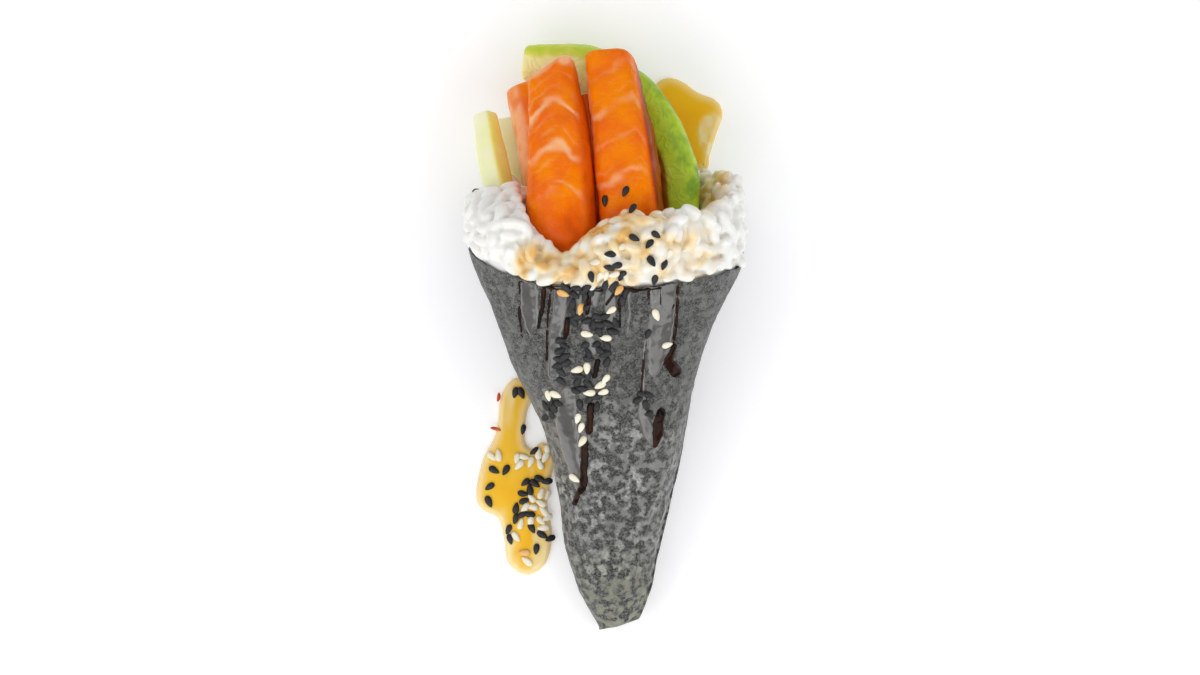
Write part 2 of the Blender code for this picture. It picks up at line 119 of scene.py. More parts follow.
world = bpy.data.worlds.new("surroundings")
world.use_nodes = True
world.node_tree.nodes["Background"].inputs["Color"].default_value = (0.95, 0.97, 1.0, 1)
world.node_tree.nodes["Background"].inputs["Strength"].default_value = 0.25
bpy.context.scene.world = world
bpy.context.scene.view_settings.view_transform = "Standard"
print("camera height", round(camera.location.z, 3), "m")

# %% [markdown]
# ## Small tools
# Food has few straight lines, so most forms here are grids of points worked out with smooth curves and a
# little noise. Numpy does that for a whole grid at a time. Numbers that the materials need, such as how
# much glaze a place has soaked up, are stored on the vertices.


# %% Curves, noise and meshes
def smooth_step(t):
    t = np.clip(t, 0, 1)
    return t * t * (3 - 2 * t)


def cubic(keys, values, at):
    """The smooth curve through the keys, read at one place or at many."""
    slopes = np.gradient(values, keys)
    i = np.clip(np.searchsorted(keys, at) - 1, 0, len(keys) - 2)
    width = keys[i + 1] - keys[i]
    t = np.clip((at - keys[i]) / width, 0, 1)
    start = values[i] * (1 + 2 * t) * (1 - t) ** 2 + values[i + 1] * t * t * (3 - 2 * t)
    lean = slopes[i] * t * (1 - t) ** 2 - slopes[i + 1] * t * t * (1 - t)
    return start + width * lean


def noise_at(points, size, octaves=1, shift=0.0):
    """Smooth noise at each point, with lumps of about that size. More octaves add finer lumps."""
    away = Vector((shift, 1.7 * shift, -shift))
    places = (Vector(p) + away for p in (points / size).reshape(-1, 3))
    if octaves == 1:
        values = [noise.noise(p) for p in places]
    else:
        values = [noise.fractal(p, 0.8, 2.1, octaves) for p in places]
    return np.array(values).reshape(points.shape[:-1])


def distance_to_path(x, y, path):
    """How far each place of the plan is from a line through the given points."""
    nearest = np.full(np.shape(x), np.inf)
    for (x0, y0), (x1, y1) in zip(path, path[1:]):
        dx, dy = x1 - x0, y1 - y0
        t = np.clip(((x - x0) * dx + (y - y0) * dy) / (dx * dx + dy * dy), 0, 1)
        nearest = np.minimum(nearest, np.hypot(x - x0 - t * dx, y - y0 - t * dy))
    return nearest


def grid_quads(rows, columns, first=0):
    """Corner numbers of the quads of a grid of points, whose last column is joined to the first."""
    row, column = np.meshgrid(np.arange(rows - 1), np.arange(columns), indexing="ij")
    here = first + row * columns + column
    beside = first + row * columns + (column + 1) % columns
    return np.stack((here, beside, beside + columns, here + columns), -1).reshape(-1, 4).tolist()


def fan(ring, middle):
    """Triangles from each side of a ring of point numbers to one point."""
    return [(a, b, middle) for a, b in zip(ring, [*ring[1:], ring[0]])]


# %% [markdown]
# Every piece is a mesh object with one finish that rides on the roll. Making it, storing numbers on its
# vertices and fixing it in its place are the same for each food, so each of these jobs has a small
# function.


# %% Pieces and their painted numbers
def make_piece(name, points, faces, material, sharp=None):
    """A smooth-shaded object with its normals facing out."""
    mesh = bpy.data.meshes.new(name)
    mesh.from_pydata(np.asarray(points).reshape(-1, 3).tolist(), [], faces)
    bm = bmesh.new()
    bm.from_mesh(mesh)
    bmesh.ops.recalc_face_normals(bm, faces=bm.faces)
    bm.to_mesh(mesh)
    bm.free()
    mesh.shade_smooth()
    if sharp:
        mesh.set_sharp_from_angle(angle=math.radians(sharp))
    mesh.materials.append(material)
    obj = bpy.data.objects.new(name, mesh)
    bpy.context.scene.collection.objects.link(obj)
    triangles = sum(len(p.vertices) - 2 for p in mesh.polygons)
    print(f"{name}: {len(mesh.vertices)} vertices, {triangles} triangles")
    return obj


def paint(obj, name, values):
    """Stores one number for each vertex, for the material to read by that name."""
    layer = obj.data.attributes.new(name, "FLOAT", "POINT")
    layer.data.foreach_set("value", np.asarray(values, np.float32).ravel())


def place(obj, slot, *nodes):
    """Fixes a piece to the roll and lets it stand for its solids, which it hides. The slot is not used."""
    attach(obj, "root")
    if nodes:
        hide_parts(*nodes)
    return obj


def mesh_tree(*objects):
    """One search tree of the surfaces of these pieces, for finding what lies below or beside a place."""
    points, faces = [], []
    for obj in objects:
        first = len(points)
        points += [v.co for v in obj.data.vertices]
        faces += [[first + i for i in p.vertices] for p in obj.data.polygons]
    return BVHTree.FromPolygons(points, faces)


# %% [markdown]
# ## Shared effects for the materials
# Three effects come back in several foods, so each is a node group with named inputs. One gives soft
# mottling, one gives thin curly lines like fibres or veins, and one lays glaze over a colour, more in some
# places than in others. They put out masks and colours, and each food's own shader decides what to do with
# them.


# %% Groups and nodes
def new_group(name, inputs, outputs):
    """An empty group with its sockets, and its input and output nodes."""
    group = bpy.data.node_groups.new(name, "ShaderNodeTree")
    for label, kind, value in inputs:
        socket = group.interface.new_socket(label, in_out="INPUT", socket_type=kind)
        socket.default_value = value
    for label, kind in outputs:
        group.interface.new_socket(label, in_out="OUTPUT", socket_type=kind)
    return group, group.nodes.new("NodeGroupInput"), group.nodes.new("NodeGroupOutput")


def add_node(tree, kind, settings=None, **sockets):
    """A node with its settings. Sockets go by name, or by i and a number, and get a value or an output."""
    node = tree.nodes.new(kind)
    for key, value in (settings or {}).items():
        setattr(node, key, value)
    for key, value in sockets.items():
        if key[0] == "i" and key[1:].isdigit():
            socket = node.inputs[int(key[1:])]
        else:
            socket = node.inputs[key.replace("_", " ")]
        if isinstance(value, bpy.types.NodeSocket):
            tree.links.new(value, socket)
        else:
            socket.default_value = value
    return node


# %% [markdown]
# The mottling is noise, stretched between a low and a high limit. The fibres are the thin lines where
# swirling noise passes its middle value. The glaze goes over the food's own colour in two steps, first as a
# thin coat that only tints it and then as a thick one that hides it.

# %% Mottling, fibres and glaze
FLOAT, COLOUR = "NodeSocketFloat", "NodeSocketColor"


def build_mottle():
    group, given, out = new_group(
        "mottle",
        [("Scale", FLOAT, 200.0), ("Detail", FLOAT, 3.0), ("Low", FLOAT, 0.35), ("High", FLOAT, 0.65)],
        [("Mask", FLOAT)],
    )
    where = add_node(group, "ShaderNodeTexCoord")
    clouds = add_node(
        group,
        "ShaderNodeTexNoise",
        Vector=where.outputs["Object"],
        Scale=given.outputs["Scale"],
        Detail=given.outputs["Detail"],
    )
    spread = add_node(group, "ShaderNodeMapRange", Value=clouds.outputs["Fac"])
    group.links.new(given.outputs["Low"], spread.inputs["From Min"])
    group.links.new(given.outputs["High"], spread.inputs["From Max"])
    group.links.new(spread.outputs["Result"], out.inputs["Mask"])
    return group


def build_fibres():
    group, given, out = new_group(
        "curly_fibres",
        [("Scale", FLOAT, 500.0), ("Curl", FLOAT, 1.5), ("Width", FLOAT, 0.05)],
        [("Mask", FLOAT)],
    )
    where = add_node(group, "ShaderNodeTexCoord")
    swirl = add_node(
        group,
        "ShaderNodeTexNoise",
        Vector=where.outputs["Object"],
        Scale=given.outputs["Scale"],
        Detail=1.0,
        Distortion=given.outputs["Curl"],
    )
    middle = add_node(group, "ShaderNodeMath", {"operation": "SUBTRACT"}, i0=swirl.outputs["Fac"], i1=0.5)
    away = add_node(group, "ShaderNodeMath", {"operation": "ABSOLUTE"}, i0=middle.outputs[0])
    line = add_node(group, "ShaderNodeMapRange", Value=away.outputs[0], To_Min=1.0, To_Max=0.0)
    group.links.new(given.outputs["Width"], line.inputs["From Max"])
    group.links.new(line.outputs["Result"], out.inputs["Mask"])
    return group


def build_glaze_tint():
    group, given, out = new_group(
        "glaze_tint",
        [
            ("Food", COLOUR, (0.8, 0.8, 0.8, 1)),
            ("Thin Glaze", COLOUR, (0.85, 0.65, 0.35, 1)),
            ("Thick Glaze", COLOUR, (0.6, 0.35, 0.08, 1)),
            ("Amount", FLOAT, 0.0),
        ],
        [("Colour", COLOUR)],
    )
    thin = add_node(group, "ShaderNodeMapRange", Value=given.outputs["Amount"], From_Max=0.5)
    thick = add_node(group, "ShaderNodeMapRange", Value=given.outputs["Amount"], From_Min=0.5)
    first = add_node(group, "ShaderNodeMix", {"data_type": "RGBA"}, i0=thin.outputs["Result"])
    group.links.new(given.outputs["Food"], first.inputs[6])
    group.links.new(given.outputs["Thin Glaze"], first.inputs[7])
    second = add_node(group, "ShaderNodeMix", {"data_type": "RGBA"}, i0=thick.outputs["Result"])
    group.links.new(first.outputs[2], second.inputs[6])
    group.links.new(given.outputs["Thick Glaze"], second.inputs[7])
    group.links.new(second.outputs[2], out.inputs["Colour"])
    return group


MOTTLE, FIBRES, GLAZE_TINT = build_mottle(), build_fibres(), build_glaze_tint()


# %% [markdown]
# A food's material is its own Principled BSDF, fed by these groups. The helpers here keep such a material
# down to a few lines that say what is mixed with what.


# %% Helpers for the foods' materials
def use_group(tree, group, **sockets):
    return add_node(tree, "ShaderNodeGroup", {"node_tree": group}, **sockets)


def mix_colours(tree, share, first, second):
    """The output of a node that mixes two colours, each given as a colour or as an output."""
    node = add_node(tree, "ShaderNodeMix", {"data_type": "RGBA"}, i0=share, i6=first, i7=second)
    return node.outputs[2]


def arithmetic(tree, operation, first, second):
    return add_node(tree, "ShaderNodeMath", {"operation": operation}, i0=first, i1=second).outputs[0]


def painted(tree, name):
    """The number that paint() stored on the vertices."""
    return add_node(tree, "ShaderNodeAttribute", {"attribute_name": name}).outputs["Fac"]


def new_material(name, **constants):
    """A material, its node tree and its Principled BSDF, with these sockets set."""
    material = bpy.data.materials.new(name)
    material.use_nodes = True
    shader = material.node_tree.nodes["Principled BSDF"]
    for key, value in constants.items():
        shader.inputs[key.replace("_", " ")].default_value = value
    return material, material.node_tree, shader


def add_bump(tree, shader, height, distance, strength=1.0):
    """Feeds a height in metres times distance to the shader's normal."""
    bump = add_node(tree, "ShaderNodeBump", Height=height, Distance=distance, Strength=strength)
    tree.links.new(bump.outputs["Normal"], shader.inputs["Normal"])


print("groups:", [group.name for group in bpy.data.node_groups])

# %% [markdown]
# ## The nori cone
# Nori is a thin sheet of dried seaweed. Rolled round moist rice it softens, crumples a little and clings,
# and its outer layer laps over the inner one along a seam that winds down the cone. One long grid does for
# it: each row is a ring round the roll, from the tip to the slanted rim, and the last column overlaps the
# first by the thickness of the lap. The crumples are real relief, since they catch the light at the edges.
# Cloth simulation could make them too, but drawn wrinkles land where the photograph has them.

# %% The cone's form
STATION_Y = np.array([-77.0, -70.0, -58.0, -42.0, -25.0, -10.0, 5.0, 20.0, 38.0, 56.0]) * MM
CENTRE_X = np.array([4.2, 3.4, 3.1, 4.1, 4.0, 1.4, 1.1, 1.5, 0.2, 0.0]) * MM
HALF_WIDTH = np.array([4.6, 8.0, 11.6, 14.6, 18.5, 23.4, 28.5, 35.4, 37.6, 38.6]) * MM
HEIGHT = np.array([8.0, 13.5, 19.5, 24.8, 30.6, 37.4, 44.4, 50.8, 54.6, 56.0]) * MM
SQUARENESS = 2.15
SETTLED = 0.92
CREASE = 0.45 * MM
LAP = 0.6 * MM
LAP_RISES_OVER = math.radians(70)
SEAM_AT_TIP = math.radians(18)
SEAM_TURNS = math.radians(-68)
TIP_Y = -76.2 * MM
TIP_SLANT = 1.5 * MM
TIP_BULGE = 0.7 * MM
RIM_TOP_Y = 12.6 * MM
RIM_LEFT_Y = 23.6 * MM
RIM_RIGHT_Y = 19.6 * MM
RIM_BACK_Y = 50.0 * MM
RIM_POWER = 1.1
RIM_WAVES = 0.5 * MM
CORNER_ANGLE = math.radians(205)
CORNER_SPREAD = math.radians(9)
CORNER_RISE = 4.5 * MM


def section_points(theta, y, inset=0.0):
    """Points of the roll's flattened cross-section. Theta is 0 on the right and 90 degrees on top."""
    waves = np.sin(3 * theta + 55 * y) + 0.8 * np.sin(5 * theta - 80 * y + 1)
    fold = CREASE * waves * smooth_step((y - STATION_Y[0]) / (20 * MM))
    half = cubic(STATION_Y, HALF_WIDTH, y) + fold - inset
    rise = cubic(STATION_Y, HEIGHT, y) / (1 + SETTLED)
    across, up = np.cos(theta), np.sin(theta)
    power = 2 / SQUARENESS
    x = cubic(STATION_Y, CENTRE_X, y) + half * np.sign(across) * np.abs(across) ** power
    z = SETTLED * rise + (rise + fold - inset) * np.sign(up) * np.abs(up) ** power
    return np.stack((x, y + 0 * x, np.maximum(np.maximum(z, inset), 0)), -1)


def rim_y(theta, corner=True):
    """Where the nori ends, going round the mouth."""
    up, right = np.sin(theta), np.cos(theta)
    side = (RIM_LEFT_Y + RIM_RIGHT_Y) / 2 + right * (RIM_RIGHT_Y - RIM_LEFT_Y) / 2
    end = np.where(up > 0, RIM_TOP_Y, RIM_BACK_Y)
    edge = side + (end - side) * np.abs(up) ** RIM_POWER
    away = (theta % math.tau - CORNER_ANGLE) / CORNER_SPREAD
    return edge + (CORNER_RISE * np.exp(-away * away) if corner else 0)


def along(theta, share, corner=True):
    """The y that lies that share of the way from the slanted tip to the rim."""
    tip = TIP_Y + TIP_SLANT * np.cos(theta)
    return tip + share * (rim_y(theta, corner) - tip)


def seam_angle(share):
    return SEAM_AT_TIP + SEAM_TURNS * share**0.8


# %% [markdown]
# The larger wrinkles are lines drawn on the plan, each with a height and a width, and the small crumples
# are noise. The mesh has an outer and an inner skin, joined along the rim, so that the sheet shows a real
# edge there.

# %% Wrinkles and the sheet's mesh
# Each wrinkle: its line in plan in millimetres, how high it stands and how wide it is
WRINKLES = [
    ([(20.0, 13.0), (20.9, 5.0), (20.2, -3.0)], 0.55, 0.40),
    ([(21.9, 12.0), (22.6, 1.0), (21.0, -7.0)], 0.40, 0.40),
    ([(15.6, -15.5), (17.2, -11.0), (21.0, -10.4), (23.4, -12.8)], 0.70, 0.90),
    ([(16.4, -18.6), (19.5, -20.4), (22.0, -17.8)], -0.60, 1.00),
    ([(24.2, 11.0), (24.6, 0.0), (21.9, -16.0)], -0.50, 1.20),
    ([(-30.4, 17.0), (-26.4, 3.0), (-21.6, -12.0)], 0.45, 0.60),
    ([(-27.6, 14.0), (-23.8, -1.0), (-18.8, -17.0)], -0.40, 0.80),
    ([(-24.0, 2.0), (-19.6, -14.0), (-14.0, -33.0)], 0.35, 0.50),
    ([(0.6, -16.0), (-1.8, -24.0), (-2.4, -32.0)], 0.40, 0.35),
    ([(8.8, -24.0), (8.2, -38.0), (10.4, -52.0)], -0.45, 1.10),
    ([(-6.0, -46.0), (-3.6, -56.0), (-1.0, -66.0)], 0.40, 0.80),
    ([(13.0, -44.0), (11.0, -54.0), (7.0, -66.0)], 0.35, 0.70),
]
DOG_EAR = ([(18.8, -43.5), (18.2, -45.5)], 0.9, 1.3)
SHEET = 0.6 * MM
AROUND = 300
OUTER_ROWS = 230
INNER_SHARES = np.concatenate((np.linspace(0.08, 0.55, 9), np.linspace(0.57, 1, 46)))


def sheet_relief(points, theta):
    """How far the sheet stands out: crumples all over, and the wrinkles on its upper side."""
    relief = 0.26 * noise_at(points, 7 * MM, 3) + 0.07 * noise_at(points, 1.5 * MM, 2, shift=9.0)
    shown = smooth_step((np.sin(theta) + 0.05) / 0.2)
    for path, height, width in [*WRINKLES, DOG_EAR]:
        away = distance_to_path(points[..., 0] / MM, points[..., 1] / MM, path)
        relief = relief + height * np.exp(-((away / width) ** 2)) * shown
    return relief * MM


def wavy_along(theta, share):
    """Places along the sheet, with a slightly ragged rim."""
    ends = np.stack((np.cos(theta), np.sin(theta), 0 * theta), -1) * 40 * MM
    waves = RIM_WAVES * noise_at(ends, 6 * MM, 3, shift=4.0)
    return along(theta, share) + waves * smooth_step((share - 0.85) / 0.15)


outer_share = np.linspace(0, 1, OUTER_ROWS)[:, None]
turned = np.linspace(0, math.tau, AROUND + 1)[None, :]
outer_theta = seam_angle(outer_share) + turned
outer_y = wavy_along(outer_theta, outer_share)
lap = LAP * smooth_step((turned - math.tau + LAP_RISES_OVER) / LAP_RISES_OVER)
outer_relief = sheet_relief(section_points(outer_theta, outer_y, -lap), outer_theta)
outer_skin = section_points(outer_theta, outer_y, -lap - outer_relief)

inner_share = INNER_SHARES[:, None]
inner_theta = seam_angle(inner_share) + turned[:, :-1]
inner_y = wavy_along(inner_theta, inner_share)
inner_relief = sheet_relief(section_points(inner_theta, inner_y), inner_theta)
inner_skin = section_points(inner_theta, inner_y, SHEET - inner_relief * smooth_step(inner_share / 0.3))

outer_count, inner_count = outer_skin.size // 3, inner_skin.size // 3
faces = grid_quads(OUTER_ROWS, AROUND + 1)
faces += grid_quads(len(INNER_SHARES), AROUND, first=outer_count)
rim_out = [outer_count - AROUND - 1 + i for i in range(AROUND + 1)]
rim_in = [outer_count + inner_count - AROUND + i for i in range(AROUND)]
faces += [(rim_out[i], rim_out[i + 1], rim_in[(i + 1) % AROUND], rim_in[i]) for i in range(AROUND)]
faces += [(rim_out[AROUND], rim_out[0], rim_in[0])]
tip_out, tip_in = outer_skin[0].mean(0) - (0, TIP_BULGE, 0), inner_skin[0].mean(0)
faces += fan(list(range(AROUND + 1)), outer_count + inner_count)
faces += fan([outer_count + i for i in range(AROUND)], outer_count + inner_count + 1)
nori_points = np.concatenate((outer_skin.reshape(-1, 3), inner_skin.reshape(-1, 3), [tip_out], [tip_in]))

# %% [markdown]
# Close up, nori is a felt of dark green and purple-black fronds with pale hair-thin fibres curling through
# it, and moist patches that shine more than dry ones. Towards the tip the dry sheet is worn paler, and
# along its folds it gets painted shade, long darker streaks. Mottling of several sizes mixes the greys, the
# fibre group adds the pale lines, and the same masks drive the roughness and a fine bump.


# %% Nori material
def make_nori_material():
    material, tree, shader = new_material("nori", Sheen_Weight=0.22, Sheen_Roughness=0.4, IOR=1.5)
    shader.inputs["Sheen Tint"].default_value = (0.88, 0.88, 0.86, 1)
    patches = use_group(tree, MOTTLE, Scale=140.0, Detail=7.0, Low=0.42, High=0.62).outputs[0]
    specks = use_group(tree, MOTTLE, Scale=520.0, Detail=8.0, Low=0.45, High=0.57).outputs[0]
    grit = use_group(tree, MOTTLE, Scale=2100.0, Detail=3.0, Low=0.47, High=0.62).outputs[0]
    tints = use_group(tree, MOTTLE, Scale=60.0, Detail=1.0, Low=0.42, High=0.68).outputs[0]
    fibres = use_group(tree, FIBRES, Scale=330.0, Curl=2.2, Width=0.03).outputs[0]
    hairs = use_group(tree, FIBRES, Scale=700.0, Curl=3.0, Width=0.03).outputs[0]
    dark = mix_colours(tree, tints, (0.008, 0.008, 0.007, 1), (0.012, 0.010, 0.010, 1))
    pale = mix_colours(tree, tints, (0.190, 0.194, 0.174, 1), (0.190, 0.184, 0.180, 1))
    pale = mix_colours(tree, painted(tree, "worn"), pale, (0.56, 0.56, 0.53, 1))
    felt = mix_colours(tree, specks, dark, pale)
    # The nori's own dark blotches, and painted shade in long streaks along its folds
    blotches_and_fold_shade = arithmetic(tree, "MAXIMUM", patches, painted(tree, "fold_shade"))
    felt = mix_colours(tree, arithmetic(tree, "MULTIPLY", blotches_and_fold_shade, 0.52), felt, (0.008, 0.008, 0.008, 1))
    felt = mix_colours(tree, arithmetic(tree, "MULTIPLY", grit, 0.5), felt, (0.30, 0.30, 0.28, 1))
    lines = arithmetic(tree, "MULTIPLY", arithmetic(tree, "MAXIMUM", fibres, hairs), 0.45)
    coloured = mix_colours(tree, lines, felt, (0.30, 0.30, 0.27, 1))
    tip = arithmetic(tree, "MULTIPLY", painted(tree, "tip"), specks)
    coloured = mix_colours(tree, tip, coloured, (0.28, 0.29, 0.17, 1))
    tree.links.new(coloured, shader.inputs["Base Color"])
    rough = add_node(tree, "ShaderNodeMapRange", Value=patches, To_Min=0.55, To_Max=0.4)
    tree.links.new(rough.outputs["Result"], shader.inputs["Roughness"])
    height = arithmetic(tree, "ADD", specks, arithmetic(tree, "MULTIPLY", grit, 0.5))
    height = arithmetic(tree, "ADD", height, arithmetic(tree, "MULTIPLY", lines, 1.2))
    add_bump(tree, shader, height, 0.3 * MM, 1.0)
    return material


TIP_OLIVE = 0.7
OLIVE_FROM = -48 * MM
OLIVE_OVER = 26 * MM
WORN_FROM = -6 * MM
WORN_OVER = 30 * MM
FOLD_SHADE_RUNS_ALONG = (1, 0.28, 1)
FOLD_SHADE_WIDTH = 3.6 * MM
RIM_SHARP_FROM = 50
nori = make_piece("nori_sheet", nori_points, faces, make_nori_material(), sharp=RIM_SHARP_FROM)
paint(nori, "tip", TIP_OLIVE * smooth_step((OLIVE_FROM - nori_points[:, 1]) / OLIVE_OVER))
paint(nori, "worn", smooth_step((WORN_FROM - nori_points[:, 1]) / WORN_OVER))
# Painted shade: long darker streaks along the folds, from noise stretched along the cone
fold_shade = noise_at(nori_points * FOLD_SHADE_RUNS_ALONG, FOLD_SHADE_WIDTH, 3, shift=21.0)
paint(nori, "fold_shade", smooth_step((fold_shade - 0.02) / 0.22))
place(nori, "nori", "nori")
nori_tree = mesh_tree(nori)

# %% [markdown]
# ## The fillings
# Salmon, avocado and cucumber are cut by hand into sticks and slices. Each is a bar along a bent line, with
# a rounded cross-section, slightly uneven faces and ends that are a little domed. One function makes them
# all, and hands back where each vertex lies along and across the bar, so that marbling and skin can be
# placed on it.

# %% Bars along a bent line
END_BULGE = 1.4 * MM
END_MIDDLE = 0.3 * MM
END_SHARE = 0.72
END_SLANTS_FROM = 0.6
END_RINGS = 5
END_MIDDLE_RINGS = 12
UNEVEN = 0.35


def bar_grid(path, widths, heights, squareness, roll=0.0, slant=0.0, taper=0.0, steps=130, around=120):
    """Points of a bar as rings, with how far along each is, and its place across and up its section."""
    line_points = np.array(path, float) * MM
    line_keys, size_keys = np.linspace(0, 1, len(path)), np.linspace(0, 1, len(widths))
    t = np.linspace(0, 1, steps)
    line = np.array([cubic(line_keys, line_points[:, k], t) for k in range(3)]).T
    ahead = np.gradient(line, axis=0)
    ahead /= np.linalg.norm(ahead, axis=1)[:, None]
    side = np.cross(ahead, (0, 0, 1))
    side /= np.linalg.norm(side, axis=1)[:, None]
    up = np.cross(side, ahead)
    half_w = cubic(size_keys, np.array(widths), t) * MM / 2
    half_h = cubic(size_keys, np.array(heights), t) * MM / 2
    angle = math.tau * (np.arange(around) + 0.5) / around
    u = np.sign(np.cos(angle)) * np.abs(np.cos(angle)) ** (2 / squareness)
    w = np.sign(np.sin(angle)) * np.abs(np.sin(angle)) ** (2 / squareness) * (1 - taper * (1 - u) / 2)
    x, z = half_w[:, None] * u, half_h[:, None] * w
    x, z = x * math.cos(roll) - z * math.sin(roll), x * math.sin(roll) + z * math.cos(roll)
    lean = slant * x * smooth_step((t - END_SLANTS_FROM) / (1 - END_SLANTS_FROM))[:, None]
    rings = line[:, None] + side[:, None] * x[..., None] + up[:, None] * z[..., None]
    rings = rings + ahead[:, None] * lean[..., None]
    first, last = end_rings(rings[0], -ahead[0]), end_rings(rings[-1], ahead[-1])
    points = np.concatenate((first[::-1], rings, last))
    caps = END_RINGS + END_MIDDLE_RINGS
    spread = np.concatenate((np.linspace(0, 1, caps), np.ones(steps), np.linspace(1, 0, caps)))
    t = np.concatenate((np.zeros(caps), t, np.ones(caps)))
    return points, t[:, None] + 0 * u, u * spread[:, None], w * spread[:, None]


def end_rings(edge, outwards):
    """Rings that round off one end of a bar, from just past its edge to just short of its middle."""
    middle = edge.mean(0)
    turn = np.linspace(0, math.pi / 2, END_RINGS + 1)[1:]
    shares = [1 - (1 - END_SHARE) * (1 - math.cos(a)) for a in turn]
    rises = [END_BULGE * math.sin(a) for a in turn]
    for share in np.linspace(END_SHARE, 0.04, END_MIDDLE_RINGS + 1)[1:]:
        shares.append(share)
        rises.append(END_BULGE + END_MIDDLE * (1 - (share / END_SHARE) ** 2))
    return np.array([middle + (edge - middle) * s + outwards * r for s, r in zip(shares, rises)])


def make_bar(name, material, form, relief=None, uneven=UNEVEN):
    """Makes the bar and moves its surface in and out by noise and by the given relief in millimetres."""
    points, t, u, w = bar_grid(**form)
    rows, around = t.shape
    middles = points.mean(1, keepdims=True)
    outwards = points - middles
    outwards /= np.maximum(np.linalg.norm(outwards, axis=-1, keepdims=True), 1e-6)
    moved = uneven * noise_at(points, 8 * MM, 3, shift=len(name))
    if relief is not None:
        moved = moved + relief(points)
    inside = smooth_step(np.linalg.norm(points - middles, axis=-1) / (2 * MM))
    points = points + outwards * (moved * inside * MM)[..., None]
    faces = grid_quads(rows, around)
    faces += fan(list(range(around)), rows * around)
    faces += fan([(rows - 1) * around + i for i in range(around)], rows * around + 1)
    flat = np.concatenate((points.reshape(-1, 3), [points[0].mean(0)], [points[-1].mean(0)]))
    obj = make_piece(name, flat, faces, material)
    ends = [np.append(v.ravel(), (v[0].mean(), v[-1].mean())) for v in (t, u, w)]
    return obj, flat, *ends


# %% [markdown]
# ### Salmon
# The pale lines in salmon are the sheets of fat between the muscle's segments. They nest like chevrons
# through the whole piece, so the same sheets have to show on the top, the sides and the ends. Here each
# stick gets a number that grows through space in nested V shapes: where it passes a whole number there is
# fat. The lines waver with noise and fade where the muscle is solid. A little light scatters below the
# surface, and glaze makes it wet.

# %% Salmon material
SALMON_FORMS = {
    "salmon_left": dict(
        path=[(-9.8, 20, 35.5), (-10.2, 34, 35.8), (-10.6, 50, 33.2), (-13.0, 68.4, 27.4)],
        widths=[17.8, 17.7, 15.6, 11.9],
        heights=[12.6, 13.0, 13.0, 12.0],
        squareness=3.6,
        roll=math.radians(14),
        slant=0.5,
    ),
    "salmon_right": dict(
        path=[(8.6, 23, 35.5), (7.6, 36, 35.6), (5.8, 52, 32.6), (2.4, 72.2, 26.2)],
        widths=[15.6, 15.8, 15.5, 11.9],
        heights=[12.6, 13.0, 13.0, 12.0],
        squareness=3.6,
        roll=math.radians(14),
        slant=-0.15,
    ),
    "salmon_side": dict(
        path=[(-13.8, 26, 21.2), (-15.4, 40, 20.6), (-17.8, 54, 18.2), (-20.4, 64.4, 15.6)],
        widths=[9.0, 10.0, 10.0, 9.0],
        heights=[10.5, 11.0, 10.8, 9.6],
        squareness=3.6,
        slant=0.1,
    ),
}
# Marbling of each stick: where the ridge of the chevrons lies in x at RIDGE_Y, how it leans, how steeply the
# legs fall to its left and right, the distance between sheets, where one of them lies in y at RIDGE_Z, how
# they slope with depth, how pale they are, and whether every sheet is strong or only every second one
MARBLING = {
    "salmon_left": dict(
        at=-11.0, lean=0.0, left=0.95, right=0.85, spacing=9.85, one_at=50.6, deep=0.3, full=1.0
    ),
    "salmon_right": dict(
        at=9.4, lean=-0.12, left=0.73, right=2.2, spacing=8.6, one_at=45.3, deep=0.3, full=0.9, strong_every=2
    ),
    "salmon_side": dict(
        at=-20.0, lean=0.0, left=0.3, right=1.6, spacing=10.5, one_at=52.0, deep=0.9, full=0.8
    ),
}
RIDGE_Y = 50
RIDGE_Z = 38
FAT_WIDTH = 0.15
FAINT_SHEET = 0.3
THREAD_STRENGTH = 0.3


def fat_at(points, at, lean, left, right, spacing, one_at, deep, full, strong_every=1):
    """How much fat shows at each point, from 0 to 1."""
    x, y, z = (points[..., k] / MM for k in range(3))
    away = x - (at + lean * (y - RIDGE_Y))
    fall = np.where(away < 0, -left * away, right * away)
    fall = np.sqrt(fall * fall + 1.5) - 1.2
    wander = 1.8 * noise_at(points, 11 * MM, 2, shift=2.0) + 0.7 * noise_at(points, 3 * MM, 2, shift=5.0)
    sheet = (y + fall + deep * (z - RIDGE_Z) + wander - one_at) / spacing
    off = np.abs(sheet - np.round(sheet))
    width = FAT_WIDTH * (1 + 1.0 * noise_at(points, 5 * MM, shift=7.0))
    strength = np.clip(0.7 + 1.1 * noise_at(points, 7 * MM, shift=11.0), 0.1, 1) * smooth_step((y - 32) / 12)
    strength = strength * np.where(np.round(sheet) % strong_every == 0, 1, FAINT_SHEET)
    thread = np.abs(3 * sheet - np.round(3 * sheet))
    in_places = smooth_step(0.4 + 2 * noise_at(points, 6 * MM, shift=15.0))
    threads = THREAD_STRENGTH * (1 - smooth_step(thread / 0.2)) * in_places
    return full * strength * np.maximum(1 - smooth_step(off / np.maximum(width, 0.03)), threads)


